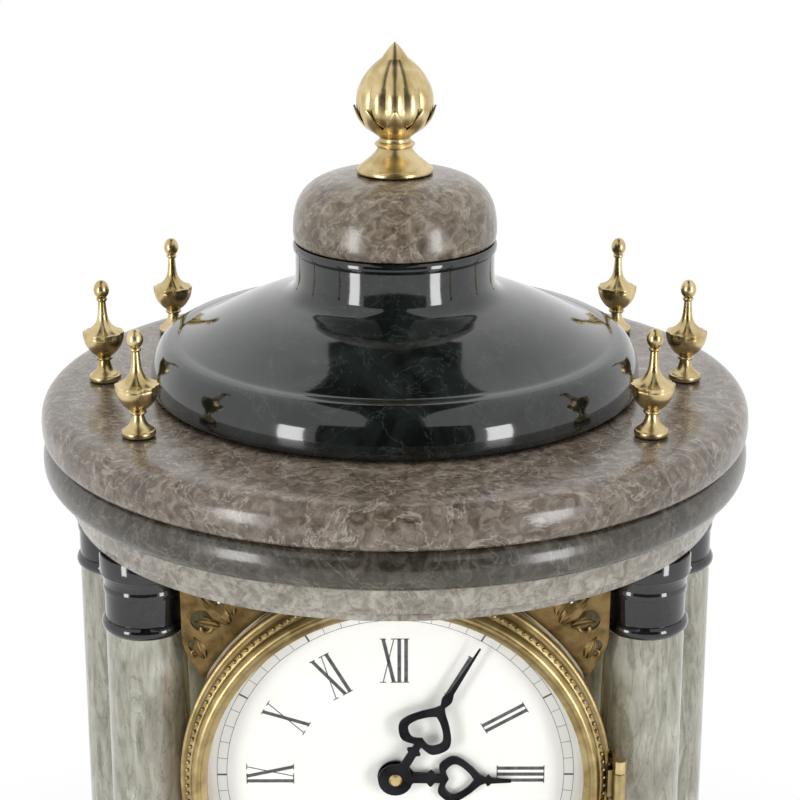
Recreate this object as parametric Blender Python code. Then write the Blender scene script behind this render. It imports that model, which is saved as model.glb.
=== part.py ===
"""A round temple mantel clock: six columns on a turned base carry a frieze, a cornice and a domed top.

The gilt drum under the frieze holds the dial and the movement, and the pendulum swings between the columns.
Lengths are in metres, +Z is up, the dial faces -Y, and the origin is under the middle of the feet.
"""

import math

import bmesh
import bpy
from mathutils import Matrix, Vector
from mathutils.geometry import tessellate_polygon

# Clearances
GAP = 0.0003
RUNNING_GAP = 0.0004
SEE_THROUGH = 0.004
JOIN = 0.0006

# Sides of the turned shapes
LARGE_SIDES = 36
MEDIUM_SIDES = 22
SMALL_SIDES = 10
ARBOR_SIDES = 8
COLUMN_SIDES = 14
SURROUND_ARC_STEPS = 16
HAND_RING_STEPS = 6
GLASS_RINGS = 3
SMOOTH_ANGLE = math.radians(35)

# The stone case, from the floor up
FOOT_HEIGHT = 0.014
FOOT_RADIUS = 0.0095
FOOT_INSET = 0.022
FOOT_COUNT = 4
BASE_HEIGHT = 0.0343
BASE_OVERHANG = 0.0263
COLUMN_BASE_HEIGHT = 0.016
COLUMN_BASE_RADIUS = 0.0152
SHAFT_RADIUS = 0.0122
CAPITAL_HEIGHT = 0.023
CAPITAL_RADIUS = 0.0127
COLUMN_CLEARANCE = 0.0147
FRIEZE_HEIGHT = 0.0108
FRIEZE_OVERHANG = 0.0128
CORNICE_HEIGHT = 0.0242
CORNICE_OVERHANG = 0.0070
DOME_HEIGHT = 0.0434
DOME_TO_FINIALS = 0.0080
CAP_HEIGHT = 0.0196
CAP_RADIUS = 0.0300
TOP_FINIAL_HEIGHT = 0.0380
TOP_FINIAL_RADIUS = 0.0112
SMALL_FINIAL_HEIGHT = 0.031
SMALL_FINIAL_RADIUS = 0.0062
FINIAL_OUTSET = 0.0015
FRONT_COLUMN_ANGLE = math.radians(57)
SIDE_COLUMN_ANGLE = math.radians(90)
FRONT_FINIAL_ANGLE = math.radians(55)

# The iron rod that draws the top together
ROD_RADIUS = 0.0025
ROD_HEAD_RADIUS = 0.0055
ROD_HEAD_HEIGHT = 0.0036
ROD_INTO_FINIAL = 0.006

# The dial and the drum. What is called forward is the distance in front of the columns' axis
DIAL_INSET = 0.0023
DIAL_LAP = 0.0025
DIAL_THICKNESS = 0.0014
DIAL_FORWARD = 0.059
DRUM_RADIUS = 0.0588
DRUM_WALL = 0.0016
DRUM_FLANGE_WIDTH = 0.0027
DRUM_FLANGE_LENGTH = 0.003
DRUM_REAR = -0.046
DIAL_LEDGE_WIDTH = 0.004
DIAL_LEDGE_LENGTH = 0.0015
SADDLE_WIDTH = 0.022
SADDLE_LENGTH = 0.010
SADDLE_RISE = 0.0066
SADDLE_FORWARDS = (0.030, -0.030)
SLOT_HALF_WIDTH = 0.012
SLOT_LENGTH = 0.012

# The bezel, its glass and the two hinges
BEZEL_OVERHANG = 0.0005
BEZEL_DEPTH = 0.0088
GLASS_LAP = 0.0015
GLASS_THICKNESS = 0.0013
GLASS_CROWN = 0.0032
GLASS_SETBACK = 0.0052
REBATE_GAP = 0.0003
HINGE_RADIUS = 0.0019
HINGE_PIN_RADIUS = 0.0009
HINGE_BORE_RADIUS = 0.0013
KNUCKLE_HALF_LENGTH = 0.0045
EAR_LENGTH = 0.0035
EAR_WALL = 0.0011
DOOR_THICKNESS = 0.002
DOOR_INSET = 0.0028

# The fretted surround between the bezel, the capitals and the frieze
SURROUND_TUCK = 0.0016
SURROUND_THICKNESS = 0.0028
SURROUND_BACK = 0.0560
SURROUND_SHOULDER = 0.025
SURROUND_TOE = 0.035
SURROUND_TOE_INSET = 0.0050
SCROLL_HOLE_RADIUS = 0.0028
SCROLL_HOLE_SHARES = [(0.84, 0.40, 1.0), (0.895, 0.78, 0.65), (0.66, 0.17, 0.65)]

# The movement, from the back plate forward
PLATE_RIM = 0.003
PLATE_THICKNESS = 0.0025
BACK_PLATE_FORWARD = 0.002
FRONT_PLATE_FORWARD = 0.042
PILLAR_RADIUS = 0.0025
PILLAR_RING_RADIUS = 0.0385
PLATE_RADIUS = PILLAR_RING_RADIUS + PILLAR_RADIUS + PLATE_RIM
PILLAR_TURNS = [math.radians(a) for a in (22, 158, 256, 284)]
LUG_WIDTH = 0.009
LUG_TURNS = [math.radians(a) for a in (90, 210, 330)]
ARBOR_RADIUS = 0.0012
THIN_ARBOR_RADIUS = 0.0008
PIVOT_RADIUS = 0.0006
WHEEL_THICKNESS = 0.0012
PINION_LENGTH = 0.003
PINION_SET_BACK = 0.00075
TOOTH_TIP_SHARE = 0.9
TOOTH_ROOT_SHARE = 1.2
LEAF_TIP_SHARE = 0.7
LEAF_ROOT_SHARE = 1.3
LEAF_CORNER_SHARES = (0.20, 0.08)
ESCAPE_LEAN_SHARE = 0.35

# The train: teeth, modules and levels
GREAT_TEETH = 64
GREAT_MODULE = 0.000625
CENTRE_LEAVES = 8
CENTRE_TEETH = 72
CENTRE_MODULE = 0.000525
THIRD_LEAVES = 6
THIRD_TEETH = 60
THIRD_MODULE = 0.00046
ESCAPE_LEAVES = 6
ESCAPE_TEETH = 36
ESCAPE_RADIUS = 0.0085
ESCAPE_TOOTH = 0.0013
BARREL_RADIUS = 0.0155
BARREL_LENGTH = 0.0125
BARREL_BORE_RADIUS = 0.0027
BARREL_ARBOR_RADIUS = 0.0022
BARREL_TURN = math.radians(-35)
GOING_WHEEL_LEVEL = 0.008
STRIKE_BARREL_LEVEL = 0.008
CENTRE_WHEEL_LEVEL = 0.0245
THIRD_WHEEL_LEVEL = 0.030
ESCAPE_WHEEL_LEVEL = 0.0345
ANCHOR_THICKNESS = 0.0022
ANCHOR_ARM = 0.0011
PALLET_GAP = 0.0011
PALLET_SPREAD = math.radians(52)
WINDING_HOLE_RADIUS = 0.0034
WINDING_SQUARE = 0.0030
WINDING_SETBACK = 0.0006

# Motion work behind the dial
MOTION_MODULE = 0.0005
CANNON_LEAVES = 12
MINUTE_TEETH = 36
MINUTE_LEAVES = 10
HOUR_TEETH = 40
HOUR_MODULE = 0.00048
CANNON_LEVEL = 0.0452
CANNON_LENGTH = 0.0018
MINUTE_WHEEL_RISE = 0.0003
HOUR_WHEEL_LEVEL = 0.0482
CANNON_PIPE_RADIUS = 0.0019
CANNON_BORE_RADIUS = 0.0015
HOUR_PIPE_RADIUS = 0.0030
HOUR_BORE_RADIUS = 0.0024
MOTION_POST_RADIUS = 0.0009
MOTION_BORE_RADIUS = 0.0012
MINUTE_WHEEL_TURN = math.radians(140)

# Hands
HAND_THICKNESS = 0.0007
HOUR_HAND_LENGTH = 0.031
MINUTE_HAND_LENGTH = 0.047
HOUR_HAND_RISE = 0.0012
MINUTE_HAND_RISE = 0.0030
HAND_BOSS_RADIUS = 0.0042
HAND_RING_RADIUS = 0.0060
HAND_RING_WIDTH = 0.0017
HAND_BAR_HALF_WIDTH = 0.0013
HAND_TIP_HALF_WIDTH = 0.0004
MINUTE_RING_PLACE_SHARE = 0.42
HOUR_RING_PLACE_SHARE = 0.50
MINUTE_AT_REST = math.radians(30)
HOUR_AT_REST = math.radians(92.5)

# Escapement, pendulum, bell and hammer
PIVOT_RISE = 0.040
ANCHOR_HOLE_RADIUS = 0.0018
CRUTCH_FORWARD = -0.0005
CRUTCH_THICKNESS = 0.0014
CRUTCH_HALF_WIDTH = 0.0013
CRUTCH_LENGTH = 0.034
FORK_REACH = 0.0080
FORK_THICKNESS = 0.0012
FORK_LENGTH = 0.003
STUD_RADIUS = 0.0010
EYE_RADIUS = 0.0030
EYE_BORE_RADIUS = 0.0014
EYE_THICKNESS = 0.0020
PENDULUM_FORWARD = -0.0060
PENDULUM_ROD_RADIUS = 0.0011
PENDULUM_LENGTH = 0.170
BOB_RADIUS = 0.0285
BOB_THICKNESS = 0.0105
BOB_BORE_RADIUS = 0.0015
RATING_NUT_RADIUS = 0.0032
RATING_NUT_HEIGHT = 0.003
PENDULUM_CLEARANCE = 0.0237
COCK_HALF_WIDTH = 0.005
COCK_RISE = 0.0050
COCK_THICKNESS = 0.0024
COCK_FORWARD = -0.0095
BELL_RADIUS = 0.0270
BELL_DEPTH = 0.0150
BELL_WALL = 0.0014
BELL_FORWARD = -0.0220
BELL_DROP = 0.006
BELL_OFFSET = 0.010
BELL_POST_RADIUS = 0.0018
BELL_HOLE_RADIUS = 0.0022
HAMMER_REACH = 0.0190
HAMMER_HEAD_RADIUS = 0.0026
HAMMER_HEAD_LENGTH = 0.0060
HAMMER_ARM_HALF_WIDTH = 0.0011
HAMMER_GAP = 0.0008
HAMMER_BOSS_RADIUS = 0.0027
HAMMER_BORE_RADIUS = 0.0013
HAMMER_POST_RADIUS = 0.0009

# Radii that follow from the drum's
DRUM_FLANGE_RADIUS = DRUM_RADIUS + DRUM_FLANGE_WIDTH
DIAL_RADIUS = DRUM_RADIUS - DIAL_INSET
DIAL_OPENING_RADIUS = DIAL_RADIUS - DIAL_LAP
DIAL_LEDGE_RADIUS = DIAL_RADIUS - DIAL_LEDGE_WIDTH
BEZEL_RADIUS = DRUM_FLANGE_RADIUS + BEZEL_OVERHANG
GLASS_RADIUS = DIAL_OPENING_RADIUS + GLASS_LAP
DOOR_RADIUS = DRUM_RADIUS - DOOR_INSET
COLUMN_RING_RADIUS = DRUM_RADIUS + COLUMN_CLEARANCE + SHAFT_RADIUS
BASE_RADIUS = COLUMN_RING_RADIUS + BASE_OVERHANG
FOOT_RING_RADIUS = BASE_RADIUS - FOOT_INSET
FRIEZE_RADIUS = COLUMN_RING_RADIUS + FRIEZE_OVERHANG
CORNICE_RADIUS = FRIEZE_RADIUS + CORNICE_OVERHANG
FINIAL_RING_RADIUS = COLUMN_RING_RADIUS + FINIAL_OUTSET
DOME_RADIUS = FINIAL_RING_RADIUS - SMALL_FINIAL_RADIUS - DOME_TO_FINIALS
SURROUND_HALF_WIDTH = COLUMN_RING_RADIUS * math.sin(FRONT_COLUMN_ANGLE) - CAPITAL_RADIUS + SURROUND_TUCK
COLUMN_ANGLES = [
    -math.pi + FRONT_COLUMN_ANGLE, -SIDE_COLUMN_ANGLE, -FRONT_COLUMN_ANGLE,
    FRONT_COLUMN_ANGLE, SIDE_COLUMN_ANGLE, math.pi - FRONT_COLUMN_ANGLE,
]
FINIAL_ANGLES = [
    -math.pi + FRONT_FINIAL_ANGLE, -SIDE_COLUMN_ANGLE, -FRONT_FINIAL_ANGLE,
    FRONT_FINIAL_ANGLE, SIDE_COLUMN_ANGLE, math.pi - FRONT_FINIAL_ANGLE,
]

# Heights that follow from the sizes above. The shafts are as long as the hanging drum and the pendulum need
DRUM_HANG = GAP + SADDLE_RISE + DRUM_RADIUS
PENDULUM_HANG = PENDULUM_LENGTH + BOB_RADIUS + GAP + RATING_NUT_HEIGHT - PIVOT_RISE
COLUMN_ENDS_HEIGHT = COLUMN_BASE_HEIGHT + CAPITAL_HEIGHT + GAP * 4
SHAFT_HEIGHT = DRUM_HANG + PENDULUM_HANG + PENDULUM_CLEARANCE - COLUMN_ENDS_HEIGHT
BASE_BOTTOM = FOOT_HEIGHT + GAP
COLUMN_BOTTOM = BASE_BOTTOM + BASE_HEIGHT + GAP
SHAFT_BOTTOM = COLUMN_BOTTOM + COLUMN_BASE_HEIGHT + GAP
CAPITAL_BOTTOM = SHAFT_BOTTOM + SHAFT_HEIGHT + GAP
FRIEZE_BOTTOM = CAPITAL_BOTTOM + CAPITAL_HEIGHT + GAP
CORNICE_BOTTOM = FRIEZE_BOTTOM + FRIEZE_HEIGHT + GAP
CORNICE_TOP = CORNICE_BOTTOM + CORNICE_HEIGHT
DOME_BOTTOM = CORNICE_TOP + GAP
CAP_BOTTOM = DOME_BOTTOM + DOME_HEIGHT + GAP
FINIAL_BOTTOM = CAP_BOTTOM + CAP_HEIGHT + GAP
DIAL_CENTRE_HEIGHT = FRIEZE_BOTTOM - DRUM_HANG

# Outlines of the turned pieces, bottom to top, as shares of the piece's radius and height
FOOT_SHARES = [(0.50, 0.0), (0.74, 0.16), (0.46, 0.42), (0.86, 0.60), (1.0, 0.80), (0.96, 1.0)]
BASE_SHARES = [
    (0.975, 0.0), (1.0, 0.05), (1.0, 0.50), (0.985, 0.58), (0.940, 0.66), (0.936, 0.93), (0.915, 1.0),
]
COLUMN_BASE_SHARES = [(1.0, 0.0), (1.0, 0.28), (0.92, 0.36), (0.97, 0.52), (0.84, 0.70), (0.84, 1.0)]
SHAFT_SHARES = [(1.0, 0.0), (1.0, 0.40), (0.955, 1.0)]
CAPITAL_SHARES = [(0.98, 0.0), (0.98, 0.10), (0.93, 0.16), (0.92, 0.54), (1.0, 0.74), (1.0, 1.0)]
FRIEZE_SHARES = [(0.985, 0.0), (0.985, 0.20), (1.0, 0.30), (1.0, 1.0)]
CORNICE_SHARES = [
    (0.965, 0.0), (0.990, 0.06), (1.0, 0.18), (0.997, 0.36), (0.986, 0.45), (0.986, 0.48),
    (0.998, 0.58), (1.0, 0.74), (0.990, 0.88), (0.968, 0.97), (0.935, 1.0),
]
DOME_SHARES = [
    (0.962, 0.0), (1.0, 0.14), (0.994, 0.25), (0.955, 0.33), (0.880, 0.345), (0.845, 0.385),
    (0.740, 0.470), (0.590, 0.570), (0.455, 0.630), (0.412, 0.690), (0.402, 0.800), (0.406, 1.0),
]
CAP_SHARES = [(0.965, 0.0), (1.0, 0.10), (1.0, 0.30), (0.96, 0.55), (0.86, 0.77), (0.68, 0.92), (0.42, 1.0)]
TOP_FINIAL_SHARES = [
    (1.0, 0.0), (0.97, 0.06), (0.58, 0.16), (0.42, 0.25), (0.50, 0.32), (0.82, 0.41),
    (1.0, 0.53), (0.95, 0.65), (0.74, 0.77), (0.32, 0.90),
]
SMALL_FINIAL_SHARES = [
    (0.76, 0.0), (0.76, 0.06), (0.32, 0.20), (0.44, 0.28), (0.90, 0.38), (1.0, 0.47),
    (0.66, 0.55), (0.24, 0.63), (0.20, 0.82), (0.32, 0.90),
]
BOB_SHARES = [(0.78, 0.0), (0.97, 0.28), (0.97, 0.72), (0.78, 1.0)]
BEZEL_SHARES = [(1.0, 0.0), (1.0, 0.34), (0.968, 0.46), (0.945, 0.80), (0.905, 1.0)]
BELL_SHARES = [(1.0, 0.0), (0.90, 0.40), (0.72, 0.76), (0.40, 0.97)]

FINISHES = {
    "stone": ((0.33, 0.29, 0.24), 0.30, 0.0),
    "grey_marble": ((0.42, 0.42, 0.35), 0.28, 0.0),
    "black_marble": ((0.02, 0.022, 0.022), 0.12, 0.0),
    "gilt": ((0.62, 0.47, 0.20), 0.30, 1.0),
    "old_gilt": ((0.36, 0.24, 0.09), 0.42, 1.0),
    "brass": ((0.66, 0.50, 0.22), 0.35, 1.0),
    "steel": ((0.35, 0.35, 0.36), 0.35, 1.0),
    "blued_steel": ((0.02, 0.02, 0.025), 0.35, 0.8),
    "enamel": ((0.88, 0.87, 0.84), 0.15, 0.0),
    "glass": ((0.90, 0.95, 0.95), 0.02, 0.0),
}


def clear_scene():
    for obj in list(bpy.data.objects):
        bpy.data.objects.remove(obj, do_unlink=True)


def finish_named(name):
    """The Principled material of one finish, made the first time that it is asked for."""
    made = bpy.data.materials.get(name)
    if made:
        return made
    colour, roughness, metallic = FINISHES[name]
    made = bpy.data.materials.new(name)
    made.use_nodes = True
    shader = made.node_tree.nodes["Principled BSDF"]
    shader.inputs["Base Color"].default_value = (*colour, 1.0)
    shader.inputs["Roughness"].default_value = roughness
    shader.inputs["Metallic"].default_value = metallic
    return made


def mesh_of(shape, name="shape"):
    bmesh.ops.recalc_face_normals(shape, faces=shape.faces)
    mesh = bpy.data.meshes.new(name)
    shape.to_mesh(mesh)
    shape.free()
    return mesh


def turned(outline, sides):
    """A mesh turned round Z. The (radius, height) points run up the outer side, and down a bore."""
    shape = bmesh.new()
    rings = []
    for radius, height in outline:
        if radius == 0:
            rings.append([shape.verts.new((0, 0, height))])
            continue
        turns = [math.tau * i / sides for i in range(sides)]
        rings.append([shape.verts.new((radius * math.cos(t), radius * math.sin(t), height)) for t in turns])
    bored = outline[0][0] > 0
    for low, high in zip(rings, rings[1:] + rings[:1] if bored else rings[1:]):
        for i in range(sides):
            j = (i + 1) % sides
            corners = [low[i % len(low)], low[j % len(low)], high[j % len(high)], high[i % len(high)]]
            shape.faces.new(list(dict.fromkeys(corners)))
    return mesh_of(shape)


def shaped(shares, radius, height, bore=0, tip=False):
    """The outline that shares describe, closed on the axis or on a bore."""
    points = [(radius * r, height * h) for r, h in shares]
    top = (bore, height) if not tip else (0, height)
    return [(bore, points[0][1])] + points + [top]


def tube(radius, low, high, bore=0):
    return [(bore, low), (radius, low), (radius, high), (bore, high)]


def polar(distance, turn):
    return (distance * math.cos(turn), distance * math.sin(turn))


def circle(radius, sides, x=0, y=0):
    points = [polar(radius, math.tau * i / sides) for i in range(sides)]
    return [(x + across, y + up) for across, up in points]


def plate(loops, low, high):
    """A flat piece between two levels. The first loop is its edge and the rest are its holes.

    The corners are counted in gaps, because the triangles are found less well among very small numbers.
    """
    corners = [[Vector((x, y, 0)) / GAP for x, y in loop] for loop in loops]
    flat = [point for loop in loops for point in loop]
    shape = bmesh.new()
    under = [shape.verts.new((x, y, low)) for x, y in flat]
    over = [shape.verts.new((x, y, high)) for x, y in flat]
    for triangle in tessellate_polygon(corners):
        shape.faces.new([under[i] for i in triangle])
        shape.faces.new([over[i] for i in triangle])
    first = 0
    for loop in loops:
        for i in range(len(loop)):
            a = first + i
            b = first + (i + 1) % len(loop)
            shape.faces.new((under[a], under[b], over[b], over[a]))
        first += len(loop)
    return mesh_of(shape)


def block(low, high):
    """A box between two corners."""
    shape = bmesh.new()
    size = Vector(high) - Vector(low)
    middle = (Vector(high) + Vector(low)) / 2
    bmesh.ops.create_cube(shape, size=1, matrix=Matrix.Translation(middle) @ Matrix.Diagonal((*size, 1)))
    return mesh_of(shape)


def moved(mesh, x=0, y=0, z=0, turn=0, axis="Z"):
    mesh.transform(Matrix.Translation((x, y, z)) @ Matrix.Rotation(turn, 4, axis))
    return mesh


def combined(mesh, others, operation):
    """The mesh joined with, or cut by, each of the others in turn."""
    base = bpy.data.objects.new("base", mesh)
    bpy.context.scene.collection.objects.link(base)
    tools = []
    for other in others:
        tool = bpy.data.objects.new("tool", other)
        tool.hide_render = True
        tool.display_type = "WIRE"
        bpy.context.scene.collection.objects.link(tool)
        step = base.modifiers.new("step", "BOOLEAN")
        step.operation = operation
        step.solver = "EXACT"
        step.object = tool
        tools.append(tool)
    graph = bpy.context.evaluated_depsgraph_get()
    result = bpy.data.meshes.new_from_object(base.evaluated_get(graph))
    for obj in [base] + tools:
        bpy.data.objects.remove(obj, do_unlink=True)
    return result


def joined(mesh, *others):
    return combined(mesh, others, "UNION")


def cut(mesh, *others):
    return combined(mesh, others, "DIFFERENCE")


def place(name, mesh, finish, parent=None, location=(0, 0, 0), turn=0):
    """One sub-part of the clock, with its own copy of a finish."""
    mesh.name = name
    mesh.shade_smooth()
    mesh.set_sharp_from_angle(angle=SMOOTH_ANGLE)
    mesh.materials.clear()
    own = finish_named(finish).copy()
    own.name = name
    mesh.materials.append(own)
    obj = bpy.data.objects.new(name, mesh)
    obj.parent = parent
    obj.location = location
    obj.rotation_euler = (0, 0, turn)
    bpy.context.scene.collection.objects.link(obj)
    return obj


def empty(name, location, facing_front=False):
    """An axis that pieces hang on. One that faces the front has X right, Y up and Z towards the viewer."""
    obj = bpy.data.objects.new(name, None)
    obj.location = location
    obj.rotation_euler = (math.pi / 2 if facing_front else 0, 0, 0)
    bpy.context.scene.collection.objects.link(obj)
    return obj


def wheel_outline(teeth, module, phase=0):
    """Pointed teeth, with one at the angle called phase."""
    pitch = module * teeth / 2
    radii = (pitch + TOOTH_TIP_SHARE * module, pitch - TOOTH_ROOT_SHARE * module)
    step = math.pi / teeth
    return [polar(radii[i % 2], phase + i * step) for i in range(2 * teeth)]


def pinion_outline(leaves, module, phase=0):
    """Blunt leaves, with one at the angle called phase."""
    pitch = module * leaves / 2
    root = pitch - LEAF_ROOT_SHARE * module
    tip = pitch + LEAF_TIP_SHARE * module
    root_share, tip_share = LEAF_CORNER_SHARES
    corners = ((root, -root_share), (tip, -tip_share), (tip, tip_share), (root, root_share))
    return [
        polar(radius, phase + (leaf + share) * math.tau / leaves)
        for leaf in range(leaves)
        for radius, share in corners
    ]


def hand_outline(length, ring_place, ring_radius, bar, tip):
    """The edge of a hand that points up: a round boss, a bar, a ring that is pierced later and a pointer."""
    side = [polar(HAND_BOSS_RADIUS, math.radians(degrees)) for degrees in (-90, -45, 0, 45)]
    side.append((bar, HAND_BOSS_RADIUS))
    start = math.asin(bar / ring_radius)
    for i in range(HAND_RING_STEPS + 1):
        t = start + (math.pi - 2 * start) * i / HAND_RING_STEPS
        side.append((ring_radius * math.sin(t), ring_place - ring_radius * math.cos(t)))
    side.append((tip, length))
    left = [(-x, y) for x, y in reversed(side) if x > tip / 2]
    return side + left


# Places on the dial's axis that follow from the sizes above
BEZEL_BACK = DIAL_FORWARD + GAP
BEZEL_FRONT = BEZEL_BACK + BEZEL_DEPTH
BEZEL_EAR_X = BEZEL_RADIUS + GAP
BEZEL_HINGE_X = BEZEL_EAR_X + HINGE_RADIUS
BEZEL_HINGE_FORWARD = BEZEL_FRONT - HINGE_RADIUS
DOOR_FRONT = DRUM_REAR - GAP
DOOR_EAR_X = DRUM_RADIUS - DRUM_WALL
DOOR_HINGE_X = DOOR_EAR_X + EAR_WALL - HINGE_RADIUS
DOOR_HINGE_FORWARD = DOOR_FRONT - DOOR_THICKNESS - HINGE_RADIUS - GAP
BARREL_DISTANCE = GREAT_MODULE * (GREAT_TEETH + CENTRE_LEAVES) / 2
BARREL_X, BARREL_Y = polar(BARREL_DISTANCE, BARREL_TURN)
THIRD_DISTANCE = CENTRE_MODULE * (CENTRE_TEETH + THIRD_LEAVES) / 2
THIRD_TO_ESCAPE = THIRD_MODULE * (THIRD_TEETH + ESCAPE_LEAVES) / 2
THIRD_TURN = math.radians(53)
THIRD_X, THIRD_Y = polar(THIRD_DISTANCE, THIRD_TURN)
ESCAPE_Y = THIRD_Y + math.sqrt(THIRD_TO_ESCAPE**2 - THIRD_X**2)
MINUTE_DISTANCE = MOTION_MODULE * (MINUTE_TEETH + CANNON_LEAVES) / 2
MINUTE_X, MINUTE_Y = polar(MINUTE_DISTANCE, MINUTE_WHEEL_TURN)
PIVOT_HOLE_RADIUS = PIVOT_RADIUS + RUNNING_GAP
HAMMER_X = BELL_OFFSET - BELL_RADIUS - HAMMER_GAP - HAMMER_HEAD_RADIUS
HAMMER_Y = -BELL_DROP
HAMMER_POST_Y = HAMMER_Y - HAMMER_REACH
BELL_TOP_FORWARD = BELL_FORWARD - BELL_DEPTH


def make_case():
    """The stone and gilt case from the feet to the top finial."""
    for i in range(FOOT_COUNT):
        x, y = polar(FOOT_RING_RADIUS, math.tau * (i + 0.5) / FOOT_COUNT)
        foot = turned(shaped(FOOT_SHARES, FOOT_RADIUS, FOOT_HEIGHT), SMALL_SIDES)
        place(f"foot_{i + 1}", foot, "gilt", location=(x, y, 0))
    base = turned(shaped(BASE_SHARES, BASE_RADIUS, BASE_HEIGHT), LARGE_SIDES)
    place("base_plinth", base, "stone", location=(0, 0, BASE_BOTTOM))
    for i, turn in enumerate(COLUMN_ANGLES):
        make_column(i + 1, turn)
    for i, turn in enumerate(FINIAL_ANGLES):
        make_small_finial(i + 1, turn)
    frieze = turned(shaped(FRIEZE_SHARES, FRIEZE_RADIUS, FRIEZE_HEIGHT, ROD_RADIUS + GAP), LARGE_SIDES)
    place("frieze", frieze, "stone", location=(0, 0, FRIEZE_BOTTOM))
    cornice = turned(shaped(CORNICE_SHARES, CORNICE_RADIUS, CORNICE_HEIGHT, ROD_RADIUS + GAP), LARGE_SIDES)
    place("cornice", cornice, "stone", location=(0, 0, CORNICE_BOTTOM))
    dome = turned(shaped(DOME_SHARES, DOME_RADIUS, DOME_HEIGHT, ROD_RADIUS + GAP), LARGE_SIDES)
    place("dome", dome, "black_marble", location=(0, 0, DOME_BOTTOM))
    cap = turned(shaped(CAP_SHARES, CAP_RADIUS, CAP_HEIGHT, ROD_RADIUS + GAP), MEDIUM_SIDES)
    place("dome_cap", cap, "stone", location=(0, 0, CAP_BOTTOM))
    make_top_finial()


def make_column(number, turn):
    x = COLUMN_RING_RADIUS * math.sin(turn)
    y = -COLUMN_RING_RADIUS * math.cos(turn)
    base = turned(shaped(COLUMN_BASE_SHARES, COLUMN_BASE_RADIUS, COLUMN_BASE_HEIGHT), COLUMN_SIDES)
    place(f"column_base_{number}", base, "black_marble", location=(x, y, COLUMN_BOTTOM))
    shaft = turned(shaped(SHAFT_SHARES, SHAFT_RADIUS, SHAFT_HEIGHT), COLUMN_SIDES)
    place(f"column_shaft_{number}", shaft, "grey_marble", location=(x, y, SHAFT_BOTTOM))
    capital = turned(shaped(CAPITAL_SHARES, CAPITAL_RADIUS, CAPITAL_HEIGHT), COLUMN_SIDES)
    place(f"column_capital_{number}", capital, "black_marble", location=(x, y, CAPITAL_BOTTOM))


def make_small_finial(number, turn):
    outline = shaped(SMALL_FINIAL_SHARES, SMALL_FINIAL_RADIUS, SMALL_FINIAL_HEIGHT, tip=True)
    finial = turned(outline, SMALL_SIDES)
    spot = (FINIAL_RING_RADIUS * math.sin(turn), -FINIAL_RING_RADIUS * math.cos(turn), CORNICE_TOP + GAP)
    place(f"small_finial_{number}", finial, "gilt", location=spot)


def make_top_finial():
    """The bulb on the cap, with a blind hole for the rod that holds the whole top down."""
    bore = ROD_RADIUS + GAP
    hole_top = ROD_INTO_FINIAL + GAP
    points = shaped(TOP_FINIAL_SHARES, TOP_FINIAL_RADIUS, TOP_FINIAL_HEIGHT, tip=True)
    outline = [(0, hole_top), (bore, hole_top), (bore, 0)] + points[1:]
    place("top_finial", turned(outline, SMALL_SIDES), "gilt", location=(0, 0, FINIAL_BOTTOM))
    low = FRIEZE_BOTTOM - GAP
    top = FINIAL_BOTTOM + ROD_INTO_FINIAL
    rod = [
        (0, low - ROD_HEAD_HEIGHT), (ROD_HEAD_RADIUS, low - ROD_HEAD_HEIGHT), (ROD_HEAD_RADIUS, low),
        (ROD_RADIUS, low), (ROD_RADIUS, top), (0, top),
    ]
    place("tie_rod", turned(rod, ARBOR_SIDES), "steel")


def hinge_ears(x, forward, ear_x, root):
    """Two ears with the pin between them. Each ear runs from its root in the drum to its eye."""
    ears = []
    reach = KNUCKLE_HALF_LENGTH + GAP + EAR_LENGTH
    near, far = sorted((forward, root))
    for side in (-1, 1):
        low, high = sorted((side * (KNUCKLE_HALF_LENGTH + GAP), side * reach))
        ears.append(block((ear_x, low, near), (ear_x + EAR_WALL, high, far)))
        eye = turned(tube(HINGE_RADIUS, low - JOIN / 4, high + JOIN / 4), ARBOR_SIDES)
        ears.append(moved(eye, x, 0, forward, math.pi / 2, "X"))
    pin = turned(tube(HINGE_PIN_RADIUS, -reach, reach), ARBOR_SIDES)
    ears.append(moved(pin, x, 0, forward, math.pi / 2, "X"))
    return ears


def hinge_knuckle(leaf, x, forward, inner, low, high):
    """A leaf with its knuckle, bored for the pin."""
    web = block((inner, -KNUCKLE_HALF_LENGTH, low), (x, KNUCKLE_HALF_LENGTH, high))
    barrel = turned(tube(HINGE_RADIUS, -KNUCKLE_HALF_LENGTH, KNUCKLE_HALF_LENGTH), ARBOR_SIDES)
    reach = KNUCKLE_HALF_LENGTH + JOIN
    bore = turned(tube(HINGE_BORE_RADIUS, -reach, reach), ARBOR_SIDES)
    moved(barrel, x, 0, forward, math.pi / 2, "X")
    moved(bore, x, 0, forward, math.pi / 2, "X")
    return cut(joined(leaf, web, barrel), bore)


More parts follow.
